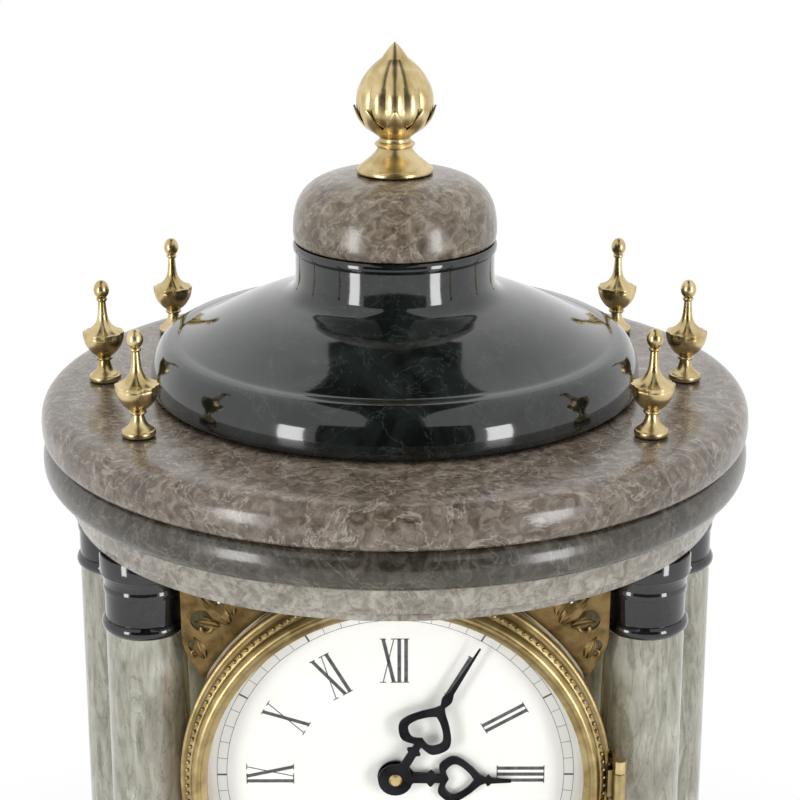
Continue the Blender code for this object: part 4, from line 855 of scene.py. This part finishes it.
def make_dial():
    back = DIAL_FACE - (DIAL_HIGH.y - DIAL_LOW.y)
    holes = [circle(ARBOR_HOLE, SMALL_SIDES)]
    keys = []
    for node in ("going_arbor", "strike_arbor"):
        low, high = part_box(node)
        keys.append(((low.x + high.x) / 2, (low.z + high.z) / 2 - CENTRE_HEIGHT))
    holes += [circle(EYELET_RADIUS - EYELET_WIDTH / 2, SMALL_SIDES, x, y) for x, y in keys]
    plate = plate_mesh("dial", [circle(DIAL_RADIUS, WIDE_SIDES)] + holes, back, DIAL_FACE)
    show("dial_enamel", plate, "enamel", "case", ["dial"], FACING, BEVEL)

    parts = []
    height = DIAL_RADIUS * (NUMERAL_OUT_SHARE - NUMERAL_IN_SHARE)
    for hour, text in enumerate(NUMERALS):
        turn = Matrix.Rotation(-math.tau * hour / len(NUMERALS), 4, "Z")
        seat = turn @ Matrix.Translation((0, DIAL_RADIUS * NUMERAL_IN_SHARE, 0))
        for corners in numeral_strokes(text, height):
            parts.append(
                (plate_mesh("stroke", [corners], DIAL_FACE - PRINT_RISE, DIAL_FACE + PRINT_RISE), seat)
            )
    show("dial_numerals", merged("numerals", parts), "dial_black", "case", matrix=FACING)

    parts = []
    inner, outer = (DIAL_RADIUS * share for share in TRACK_SHARES)
    for radius in (inner, outer):
        loops = [circle(radius + TRACK_LINE / 2, WIDE_SIDES), circle(radius - TRACK_LINE / 2, WIDE_SIDES)]
        parts.append(
            (plate_mesh("line", loops, DIAL_FACE - PRINT_RISE, DIAL_FACE + PRINT_RISE), Matrix.Identity(4))
        )
    for minute in range(MINUTES):
        half = TRACK_TICK if minute % 5 == 0 else TRACK_LINE / 2
        tick = [(-half, inner), (half, inner), (half, outer), (-half, outer)]
        turn = Matrix.Rotation(math.tau * minute / MINUTES, 4, "Z")
        parts.append((plate_mesh("tick", [tick], DIAL_FACE - PRINT_RISE, DIAL_FACE + TICK_RISE), turn))
    show("dial_minute_track", merged("track", parts), "dial_black", "case", matrix=FACING)

    ring = []
    for i in range(EYELET_SIDES):
        a = math.tau * i / EYELET_SIDES
        ring.append((EYELET_RADIUS + EYELET_WIDTH * math.cos(a), DIAL_FACE + EYELET_RISE * math.sin(a)))
    for number, (x, y) in enumerate(keys, 1):
        eyelet = turned_mesh("eyelet", ring, SMALL_SIDES)
        show(
            f"winding_eyelet_{number}", eyelet, "gilt", "case", (),
            FACING @ Matrix.Translation((x, y, 0)),
        )


BEZEL_SHARES = [
    [(0.992, 0.0), (1.0, 0.04)], [(1.0, 0.04), (1.0, 0.30)], [(1.0, 0.30), (0.992, 0.345), (0.980, 0.355)],
    [(0.974, 0.40), (0.976, 0.52), (0.968, 0.66), (0.953, 0.75)], [(0.947, 0.755), (0.944, 0.83)],
    [(0.944, 0.83), (0.932, 0.95), (0.918, 1.0), (0.905, 0.985), (0.897, 0.93)],
]
BEAD_RADIUS = 0.62 * MM
BEAD_COUNT = 150
BEAD_RINGS = 6
BEAD_SIDES = 10
BEAD_PLACE_SHARE = 0.964
BEAD_LEVEL_SHARE = 0.70
GLASS_LAP = 1.5 * MM
GLASS_THICK = 1.3 * MM
GLASS_PLAY = 0.3 * MM
GLASS_LIP = 2.0 * MM
GLASS_STEPS = 12

# The hinge: its knuckle, its pin's place, and the web between knuckle and bezel
HINGE_RADIUS = 1.9 * MM
HINGE_BORE = 1.3 * MM
KNUCKLE_HALF_LENGTH = 4.5 * MM
BEZEL_PIN_X = 64.2 * MM
BEZEL_PIN_LEVEL = 66.2 * MM
KNUCKLE_EASE = HINGE_BORE / 5
WEB_ROOT_SHARE = 0.985
WEB_OVER_BACK = 1.2 * MM
WEB_UNDER_FRONT = 3.4 * MM


def make_bezel():
    back, front = forward("bezel_glass")
    glass_radius = (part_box("bezel_glass")[1].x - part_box("bezel_glass")[0].x) / 2
    bezel_radius = -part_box("bezel")[0].x
    bezel_back, bezel_front = forward("bezel")
    opening = glass_radius - GLASS_LAP
    crown = front - back - GLASS_THICK
    line = outline_of(BEZEL_SHARES, bezel_radius, bezel_back, bezel_front)
    seat = back + GLASS_THICK + GLASS_PLAY
    line += [(opening, seat + GLASS_LIP), (opening, seat), (glass_radius + GLASS_PLAY, seat)]
    line.append((glass_radius + GLASS_PLAY, bezel_back))
    show(
        "bezel_ring", turned_mesh("ring", line, WIDE_SIDES), "gilt_bezel", "bezel", ["bezel"],
        FACING,
    )

    bead = ball_mesh("bead", BEAD_RADIUS, BEAD_RINGS, BEAD_SIDES)
    beads = []
    radius = bezel_radius * BEAD_PLACE_SHARE
    level = bezel_back + (bezel_front - bezel_back) * BEAD_LEVEL_SHARE
    for i in range(BEAD_COUNT):
        turn = math.tau * i / BEAD_COUNT
        beads.append((bead, Matrix.Translation((radius * math.cos(turn), radius * math.sin(turn), level))))
    show("bezel_beads", merged("beads", beads), "gilt_bezel", "bezel", (), FACING)

    outer = []
    inner = []
    for i in range(GLASS_STEPS + 1):
        share = i / GLASS_STEPS
        rise = crown * (1 - share**2)
        outer.append((glass_radius * share, back + GLASS_THICK + rise))
        inner.append((glass_radius * share, back + rise))
    glass = turned_mesh("glass", inner + list(reversed(outer)), WIDE_SIDES)
    crystal = show("bezel_crystal", glass, "glass", "bezel", ["bezel_glass"], FACING)
    crystal.visible_shadow = False
    root_x = bezel_radius * WEB_ROOT_SHARE
    low = bezel_back + WEB_OVER_BACK
    high = bezel_front - WEB_UNDER_FRONT
    make_knuckle("bezel", "bezel", BEZEL_PIN_X, BEZEL_PIN_LEVEL, root_x, low, high)


def make_knuckle(name, body, pin_x, pin_level, root_x, low, high):
    """The knuckle that a hinge's pin runs through, and the web that ties it to its ring."""
    eased = HINGE_RADIUS - KNUCKLE_EASE
    ends = KNUCKLE_HALF_LENGTH - KNUCKLE_EASE
    outline = [
        (HINGE_BORE, -KNUCKLE_HALF_LENGTH), (eased, -KNUCKLE_HALF_LENGTH), (HINGE_RADIUS, -ends),
        (HINGE_RADIUS, ends), (eased, KNUCKLE_HALF_LENGTH), (HINGE_BORE, KNUCKLE_HALF_LENGTH),
    ]
    stand = FACING @ Matrix.Translation((pin_x, 0, pin_level)) @ Matrix.Rotation(math.pi / 2, 4, "X")
    show(
        f"{name}_knuckle", turned_mesh("knuckle", outline, SMALL_SIDES), "gilt_bezel", body,
        (), stand,
    )
    edge = pin_x - (HINGE_RADIUS + HINGE_BORE) / 2
    corners = [(root_x, -ends), (edge, -ends), (edge, ends), (root_x, ends)]
    show(f"{name}_web", plate_mesh("web", [corners], low, high), "gilt_bezel", body, (), FACING)


# Hands

HAND_STEPS = 7
BUD_STEPS = 4
BOSS_STEPS = 10
BOSS_SWEEP = 150
HAND_SAME_POINT = 0.02 * MM
HAND_AXIS = 0.01 * MM
BUD_NECK = 0.2 * MM

# Each hand's length, boss, hole, half bar, heart, half pointer and half tip, and its turn in degrees from
# twelve. A heart is its low end, half width and high end
HANDS = {
    "hour_hand": (
        33.5 * MM, 5.2 * MM, 2.4 * MM, 1.7 * MM, (13.0 * MM, 7.4 * MM, 26.0 * MM), 0.95 * MM, 0.35 * MM, 92.5,
    ),
    "minute_hand": (
        48 * MM, 5.0 * MM, 1.5 * MM, 1.4 * MM, (12.8 * MM, 8.2 * MM, 27.0 * MM), 0.80 * MM, 0.25 * MM, 30,
    ),
}
BAR_ROOT_SHARE = 1.02
COLLAR_DROP_SHARE = 1.6
COLLAR_SHARES = [(0.92, -0.7), (1.55, -0.15), (1.55, 0.15), (0.8, 0.7)]
HEART_NECK_SHARE = 0.8
HEART_SHARES = [(0.62, -0.03), (0.97, 0.20), (0.93, 0.42), (0.60, 0.68), (0.25, 0.88)]
BUD_PLACE_SHARE = 0.12
BUD_WIDTH_SHARE = 1.9
BUD_END_SHARE = 0.95
EYE_LOW_SHARE = 0.13
EYE_SHARES = [(0, 0.06), (0.36, -0.01), (0.66, 0.15), (0.56, 0.33), (0.26, 0.52), (0, 0.62)]
COLLET_RADIUS = 1.9 * MM
COLLET_TOP_RADIUS = 1.35 * MM
COLLET_EDGE = 0.25 * MM
COLLET_CROWN = 0.35 * MM


def hand_loops(length, boss, hole, bar, heart, pointer, tip):
    """A pierced hand that points up: boss, bar, collar, heart, bud and pointer."""
    low, wide, high = heart
    sweep = [math.radians(-90 + BOSS_SWEEP * i / BOSS_STEPS) for i in range(BOSS_STEPS + 1)]
    side = [(boss * math.cos(t), boss * math.sin(t)) for t in sweep]
    collar = low - bar * COLLAR_DROP_SHARE
    side.append((bar, boss * BAR_ROOT_SHARE))
    side += [(bar * x, collar + bar * y) for x, y in COLLAR_SHARES]
    span = high - low
    lobe = [(wide * x, low + span * y) for x, y in HEART_SHARES]
    side += spline([(bar * HEART_NECK_SHARE, low)] + lobe + [(pointer, high)], HAND_STEPS)
    bud = high + (length - high) * BUD_PLACE_SHARE
    swell = [(pointer, high + BUD_NECK), (pointer * BUD_WIDTH_SHARE, bud)]
    side += spline(swell + [(pointer * BUD_END_SHARE, bud + (bud - high))], BUD_STEPS)
    side.append((tip, length))
    clean = []
    for point in side:
        if not clean or math.dist(point, clean[-1]) > HAND_SAME_POINT:
            clean.append(point)
    edge = clean + [(-x, y) for x, y in reversed(clean) if x > tip / 2]
    eye_low = low + span * EYE_LOW_SHARE
    right = spline([(wide * x, eye_low + span * y) for x, y in EYE_SHARES], HAND_STEPS)
    piercing = right + [(-x, y) for x, y in reversed(right) if x > HAND_AXIS]
    return [edge, circle(hole, SMALL_SIDES), piercing]


def make_hands():
    for name, (*sizes, turn) in HANDS.items():
        low, high = forward(name)
        mesh = plate_mesh(name, hand_loops(*sizes), low, high)
        stand = FACING @ Matrix.Rotation(-math.radians(turn), 4, "Z")
        show(f"pierced_{name}", mesh, "hand_steel", name, [name], stand, BEVEL)
    nut_low = forward("minute_hand")[1]
    nut_high = forward("centre_wheel")[1]
    outline = [
        (0, nut_low), (COLLET_RADIUS, nut_low), (COLLET_RADIUS, nut_low + COLLET_EDGE),
        (COLLET_TOP_RADIUS, nut_high + COLLET_EDGE), (0, nut_high + COLLET_CROWN),
    ]
    show("hand_collet", turned_mesh("collet", outline, SMALL_SIDES), "brass", "minute_hand", matrix=FACING)


# The corner ornament

SURROUND_LIFT = 1.3 * MM
SURROUND_CLEARANCE = 0.35 * MM
SURROUND_CHEEK = 25 * MM
SURROUND_ARC_STEPS = 64
TOE_STEP = 0.3 * MM
CHEEK_INSET = 3.2 * MM
CHEEK_RISE = 4 * MM
SHOULDER_INSET = 0.4 * MM
SHOULDER_RISE = 6 * MM
EDGE_STEPS = 6
HOLE_SIDES = 20

# Each hole's place, as shares of the half width and of the cheek's height, and its radius in millimetres
SURROUND_HOLES = (
    (0.905, 0.69, 3.2), (0.806, 0.49, 2.6), (0.94, 1.01, 1.8), (0.66, 0.155, 1.7), (0.925, 0.13, 1.6),
)

# Each scroll's eye in millimetres from the dial's centre, its start and sweep in degrees, and in millimetres
# its first and last reach and its thickness
SCROLLS = (
    ((51.0, 55.4), 200, 300, 0.8, 4.2, 0.75), ((54.3, 46.0), 20, -290, 0.7, 3.2, 0.65),
    ((40.5, 61.3), 250, -280, 0.6, 3.0, 0.6), ((56.4, 61.0), 90, 300, 0.5, 2.6, 0.5),
    ((30.2, 62.6), 60, 280, 0.4, 2.0, 0.45), ((57.0, 37.5), 240, 280, 0.4, 2.1, 0.45),
)
SCROLL_STEPS = 40
SCROLL_SIDES = 8

# A leaf's length, width and thickness. A leaf's ribs are across and up as shares of its half width and rise
LONG_LEAF = (11 * MM, 5.0 * MM, 1.0 * MM)
SHORT_LEAF = (7 * MM, 3.6 * MM, 0.9 * MM)
LEAF_RIB_SHARES = [(-1, 0), (-0.6, 0.75), (-0.2, 0.62), (0, 1), (0.2, 0.62), (0.6, 0.75), (1, 0)]
LEAF_ROWS = 12
LEAF_SINK = 0.05 * MM

# Each leaf's place in millimetres, its turn in degrees and its size
LEAVES = (
    (47.0, 47.4, 45, LONG_LEAF), (46.0, 50.0, 78, SHORT_LEAF), (50.0, 46.4, 12, SHORT_LEAF),
    (38.0, 55.2, 62, SHORT_LEAF), (54.4, 36.6, 66, SHORT_LEAF), (31.5, 58.2, 150, SHORT_LEAF),
    (24.0, 61.6, 168, SHORT_LEAF),
)


def scroll(centre, start, sweep, first, last, level, thick):
    """A tapering C-scroll in the plate's plane: a spiral from its eye outward, as points and radii."""
    points = []
    radii = []
    for i in range(SCROLL_STEPS + 1):
        share = i / SCROLL_STEPS
        angle = start + sweep * share
        reach = first + (last - first) * share**1.2
        points.append((centre[0] + reach * math.cos(angle), centre[1] + reach * math.sin(angle), level))
        radii.append(thick * (0.55 + 0.45 * math.sin(math.pi * min(share * 1.15, 1))))
    return points, radii


def leaf_mesh(length, width, thick):
    """A ribbed, pointed leaf that lies along +X."""
    shape = bmesh.new()
    lines = []
    for i in range(LEAF_ROWS + 1):
        share = i / LEAF_ROWS
        half = width / 2 * math.sin(math.pi * (0.06 + 0.92 * share) ** 0.75)
        rise = thick * (1 - 0.55 * share)
        lines.append(
            [shape.verts.new((length * share, side * half, rise * up)) for side, up in LEAF_RIB_SHARES]
        )
    for a, b in zip(lines, lines[1:]):
        for k in range(len(a) - 1):
            shape.faces.new((a[k], a[k + 1], b[k + 1], b[k]))
        shape.faces.new((a[0], b[0], b[-1], a[-1]))
    shape.faces.new(lines[0])
    shape.faces.new(list(reversed(lines[-1])))
    return mesh_from(shape, "leaf")


def make_surround():
    low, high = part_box("dial_surround")
    back, front = forward("dial_surround")
    half = high.x
    top = high.z - CENTRE_HEIGHT
    toe = low.z - CENTRE_HEIGHT
    arc_radius = SURROUND_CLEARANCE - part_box("bezel")[0].x
    toe_x = math.sqrt(max(arc_radius**2 - toe**2, 0))
    start = math.atan2(toe, toe_x)
    arc = []
    for i in range(SURROUND_ARC_STEPS + 1):
        a = start + (math.pi - 2 * start) * i / SURROUND_ARC_STEPS
        arc.append((arc_radius * math.cos(a), arc_radius * math.sin(a)))
    shoulder = top - SURROUND_CHEEK
    cheek = [
        (toe_x + TOE_STEP, toe), (half - CHEEK_INSET, toe + CHEEK_RISE), (half - SHOULDER_INSET, shoulder),
        (half, shoulder + SHOULDER_RISE),
    ]
    side = spline(cheek, EDGE_STEPS)
    edge = side + [(half, top), (-half, top)] + [(-x, y) for x, y in reversed(side)] + list(reversed(arc))
    holes = []
    for sign in (-1, 1):
        for x_share, y_share, radius in SURROUND_HOLES:
            spot = (sign * half * x_share, top - SURROUND_CHEEK * y_share)
            holes.append(circle(radius * MM, HOLE_SIDES, *spot))
    level = front - SURROUND_LIFT
    plate = plate_mesh("surround", [edge] + holes, back, level)
    show("surround_plate", plate, "old_gilt", "case", ["dial_surround"], FACING, BEVEL)

    parts = []
    shapes = {size: leaf_mesh(*size) for size in (LONG_LEAF, SHORT_LEAF)}
    for sign in (1, -1):
        mirror = Matrix.Identity(4) if sign == 1 else Matrix.Diagonal((-1, 1, 1, 1))
        for eye, begin, sweep, first, last, thick in SCROLLS:
            centre = [place * MM for place in eye]
            turns = (math.radians(begin), math.radians(begin + sweep) - math.radians(begin))
            points, radii = scroll(centre, *turns, first * MM, last * MM, level, thick * MM)
            parts.append((tube_mesh("scroll", points, radii, SCROLL_SIDES), mirror))
        for x, y, turn, size in LEAVES:
            seat = Matrix.Translation((x * MM, y * MM, level - LEAF_SINK))
            seat = seat @ Matrix.Rotation(math.radians(turn), 4, "Z")
            parts.append((shapes[size], mirror @ seat))
    show("surround_scrolls", merged("relief", parts), "old_gilt", "case", matrix=FACING)


# The drum, the rear door and the bob

DRUM_RADIUS = 58.8 * MM
DRUM_RING_RISE = 0.45 * MM
DRUM_RING_HALF = 0.8 * MM
DRUM_RING_LEVELS = (48 * MM, 4 * MM, -40 * MM)
DOOR_LIFT = 0.9 * MM
DOOR_FACE = forward("rear_door")[0]
DOOR_RINGS = ((50 * MM, 1.6 * MM, 0.9 * MM), (43 * MM, 0.9 * MM, 0.6 * MM), (17 * MM, 1.1 * MM, 0.7 * MM))
DOOR_PETALS = 16
DOOR_PETAL_LENGTH = DOOR_RINGS[2][0] * 0.85
DOOR_PETAL_WIDTH = DOOR_RINGS[2][0] * 0.30
DOOR_KNOB_X = -51 * MM
KNOB_OUTLINE = [
    (0, 0), (2.4 * MM, 0), (1.2 * MM, 0.8 * MM), (1.9 * MM, 2.0 * MM), (1.4 * MM, 3.2 * MM), (0, 3.6 * MM),
]
BOB_PETALS = 12
BOB_PETAL_SHARE = 0.42
BOB_PETAL_WIDTH_SHARE = 0.17
BOB_PETAL_RISE = 0.8 * MM
BOB_RING_SHARE = 0.5
BOB_RING_HALF = 0.8 * MM
BOB_RING_SINK = 0.3 * MM
BOB_RING_RISE = 0.9 * MM
MOULDING_WIDTH_SHARE = 0.75
MOULDING_RISE_SHARE = 0.7


def bead_ring(radius, half, level, rise):
    """The closed outline of a half-round ring that stands on a face."""
    shoulder = half * MOULDING_WIDTH_SHARE
    height = level + rise * MOULDING_RISE_SHARE
    return [
        (radius - half, level), (radius - shoulder, height), (radius, level + rise),
        (radius + shoulder, height), (radius + half, level),
    ]


def make_drum():
    for number, level in enumerate(DRUM_RING_LEVELS, 1):
        outline = [
            (DRUM_RADIUS - DRUM_RING_RISE, level - DRUM_RING_HALF), (DRUM_RADIUS, level - DRUM_RING_HALF),
            (DRUM_RADIUS + DRUM_RING_RISE, level - DRUM_RING_HALF / 2),
            (DRUM_RADIUS + DRUM_RING_RISE, level + DRUM_RING_HALF / 2),
            (DRUM_RADIUS, level + DRUM_RING_HALF), (DRUM_RADIUS - DRUM_RING_RISE, level + DRUM_RING_HALF),
        ]
        show(f"drum_ring_{number}", turned_mesh("ring", outline, WIDE_SIDES), "gilt", "case", matrix=FACING)


def make_rear_door():
    """Mouldings, a rosette of leaves and a knob on the door's outer face."""
    turned = FACING @ Matrix.Translation((0, 0, DOOR_FACE)) @ Matrix.Rotation(math.pi, 4, "X")
    for number, (radius, half, rise) in enumerate(DOOR_RINGS, 1):
        ring = turned_mesh("ring", bead_ring(radius, half, 0, rise), WIDE_SIDES)
        show(f"rear_door_ring_{number}", ring, "gilt", "rear_door", matrix=turned)
    petal = leaf_mesh(DOOR_PETAL_LENGTH, DOOR_PETAL_WIDTH, DOOR_LIFT)
    petals = [(petal, Matrix.Rotation(math.tau * i / DOOR_PETALS, 4, "Z")) for i in range(DOOR_PETALS)]
    show("rear_door_rosette", merged("rosette", petals), "gilt", "rear_door", matrix=turned)
    stand = FACING @ Matrix.Translation((DOOR_KNOB_X, 0, DOOR_FACE)) @ Matrix.Rotation(math.pi, 4, "X")
    show("rear_door_knob", turned_mesh("knob", KNOB_OUTLINE, SMALL_SIDES), "gilt", "rear_door", matrix=stand)


def make_bob():
    """A ring and a rosette on the pendulum bob's front."""
    low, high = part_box("pendulum_bob")
    radius = (high.x - low.x) / 2
    centre = Vector((0, low.y, (low.z + high.z) / 2))
    stand = Matrix.Translation(centre) @ Matrix.Rotation(math.pi / 2, 4, "X")
    outline = bead_ring(radius * BOB_RING_SHARE, BOB_RING_HALF, -BOB_RING_SINK, BOB_RING_RISE)
    ring = turned_mesh("ring", outline, WIDE_SIDES)
    show("bob_ring", ring, "gilt", "pendulum", matrix=stand)
    petal = leaf_mesh(radius * BOB_PETAL_SHARE, radius * BOB_PETAL_WIDTH_SHARE, BOB_PETAL_RISE)
    petals = [(petal, Matrix.Rotation(math.tau * i / BOB_PETALS, 4, "Z")) for i in range(BOB_PETALS)]
    show("bob_rosette", merged("rosette", petals), "gilt", "pendulum", matrix=stand)


def dress_cad_nodes():
    finishes = {
        "steel": ["tie_rod", "going_arbor", "strike_arbor", "anchor", "cannon_pinion", "hammer"],
        "brass": [
            "front_plate", "back_plate", "going_barrel", "strike_barrel", "centre_wheel", "third_wheel",
            "escape_wheel",
            "minute_wheel", "hour_wheel", "pendulum_rod",
        ],
        "bell_metal": ["bell"],
        "gilt": ["drum_case", "rear_door", "pendulum_bob"],
    }
    for finish, names in finishes.items():
        for name in names:
            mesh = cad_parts[name].data
            mesh.materials.clear()
            mesh.materials.append(MATERIALS[finish])


# Studio


def plain_rays(tree):
    """1 for camera, glossy and transmission rays, and 0 for all others."""
    path = tree.nodes.new("ShaderNodeLightPath")
    total = path.outputs["Is Camera Ray"]
    for kind in ("Is Glossy Ray", "Is Transmission Ray"):
        added = tree.nodes.new("ShaderNodeMath")
        added.operation = "ADD"
        added.use_clamp = True
        tree.links.new(total, added.inputs[0])
        tree.links.new(path.outputs[kind], added.inputs[1])
        total = added.outputs[0]
    return total


def make_studio():
    scene = bpy.context.scene
    scene.view_settings.view_transform = "Standard"

    world = bpy.data.worlds.new("studio")
    scene.world = world
    world.use_nodes = True
    nodes = world.node_tree.nodes
    links = world.node_tree.links
    background = nodes["Background"]
    strength = nodes.new("ShaderNodeMapRange")
    strength.inputs["To Min"].default_value = AMBIENT
    strength.inputs["To Max"].default_value = 1.0
    links.new(plain_rays(world.node_tree), strength.inputs["Value"])
    links.new(strength.outputs["Result"], background.inputs["Strength"])
    background.inputs["Color"].default_value = (1, 1, 1, 1)

    floor_mesh = bpy.data.meshes.new("floor")
    half = FLOOR_SIZE / 2
    floor_mesh.from_pydata(
        [(-half, -half, 0), (half, -half, 0), (half, half, 0), (-half, half, 0)], [], [(0, 1, 2, 3)],
    )
    floor = bpy.data.objects.new("floor", floor_mesh)
    scene.collection.objects.link(floor)
    floor_mesh.materials.append(floor_white())

    middle = Vector((0, 0, CENTRE_HEIGHT + LIGHT_AIM_RISE))
    for sign in (-1, 1):
        spot = Vector((
            sign * SOFTBOX_DISTANCE * math.sin(SOFTBOX_TURN), -SOFTBOX_DISTANCE * math.cos(SOFTBOX_TURN),
            SOFTBOX_HEIGHT,
        ))
        area_light(
            f"softbox_{'left' if sign < 0 else 'right'}", spot, middle, SOFTBOX_WIDTH, SOFTBOX_TALL,
            SOFTBOX_POWER,
        )
    above = Vector((0, TOP_LIGHT_BACK, TOP_LIGHT_HEIGHT))
    area_light("top_light", above, middle, TOP_LIGHT_SIZE, TOP_LIGHT_SIZE, TOP_LIGHT_POWER)

    card_mesh = bpy.data.meshes.new("dark_card")
    side = CARD_WIDTH / 2
    strip = CANOPY_WIDTH / 2
    y = -CARD_DISTANCE
    corners = [
        (-side, y, CARD_FOOT), (side, y, CARD_FOOT), (side, y, CARD_TALL), (-side, y, CARD_TALL),
        (-strip, y, CARD_TALL), (strip, y, CARD_TALL), (strip, y, CANOPY_HEIGHT), (-strip, y, CANOPY_HEIGHT),
        (strip, CANOPY_BACK, CANOPY_HEIGHT), (-strip, CANOPY_BACK, CANOPY_HEIGHT),
    ]
    card_mesh.from_pydata(corners, [], [(0, 1, 2, 3), (4, 5, 6, 7), (7, 6, 8, 9)])
    card = bpy.data.objects.new("dark_card", card_mesh)
    scene.collection.objects.link(card)
    card_mesh.materials.append(material("card_black", 0.9, 0.0, (0.012, 0.012, 0.012)))
    card.visible_camera = False
    card.visible_shadow = False
    card.visible_diffuse = False
    card.visible_transmission = False


def floor_white():
    """A white floor that keeps a soft shadow near the clock and is plain white further out."""
    made = bpy.data.materials.new("floor_white")
    made.use_nodes = True
    nodes = made.node_tree.nodes
    nodes.clear()
    out = nodes.new("ShaderNodeOutputMaterial")
    diffuse = nodes.new("ShaderNodeBsdfDiffuse")
    diffuse.inputs["Color"].default_value = (FLOOR_GREY, FLOOR_GREY, FLOOR_GREY, 1)
    glow = nodes.new("ShaderNodeEmission")
    glow.inputs["Strength"].default_value = 1.0
    mix = nodes.new("ShaderNodeMixShader")
    place = nodes.new("ShaderNodeNewGeometry")
    distance = nodes.new("ShaderNodeVectorMath")
    distance.operation = "LENGTH"
    link(made, place.outputs["Position"], distance.inputs[0])
    fade = nodes.new("ShaderNodeMapRange")
    fade.inputs["From Min"].default_value = FADE_START
    fade.inputs["From Max"].default_value = FADE_END
    fade.inputs["To Min"].default_value = FADE_LEAST_SHARE
    fade.inputs["To Max"].default_value = 1.0
    link(made, distance.outputs["Value"], fade.inputs["Value"])
    share = nodes.new("ShaderNodeMath")
    share.operation = "MULTIPLY"
    link(made, plain_rays(made.node_tree), share.inputs[0])
    link(made, fade.outputs["Result"], share.inputs[1])
    link(made, share.outputs[0], mix.inputs["Fac"])
    link(made, diffuse.outputs[0], mix.inputs[1])
    link(made, glow.outputs[0], mix.inputs[2])
    link(made, mix.outputs[0], out.inputs["Surface"])
    return made


def area_light(name, spot, target, width, tall, power):
    data = bpy.data.lights.new(name, "AREA")
    data.shape = "RECTANGLE"
    data.size = width
    data.size_y = tall
    data.energy = power
    light = bpy.data.objects.new(name, data)
    light.location = spot
    light.rotation_euler = (target - spot).to_track_quat("-Z", "Y").to_euler()
    light.visible_camera = False
    light.visible_glossy = name.startswith("softbox")
    bpy.context.scene.collection.objects.link(light)


def make_camera():
    data = bpy.data.cameras.new("camera")
    data.lens = CAMERA_LENS
    data.sensor_width = SENSOR
    data.clip_start = CAMERA_NEAR
    camera = bpy.data.objects.new("camera", data)
    camera.location = (0, -CAMERA_BACK, place_of("cornice")[4] + CAMERA_RISE)
    camera.rotation_euler = (math.pi / 2 - CAMERA_PITCH, 0, -CAMERA_YAW)
    bpy.context.scene.collection.objects.link(camera)
    bpy.context.scene.camera = camera


make_studio()
make_camera()
make_stones()
make_columns()
make_gilt_mounts()
make_dial()
make_bezel()
make_hands()
make_surround()
make_drum()
make_rear_door()
make_bob()
dress_cad_nodes()
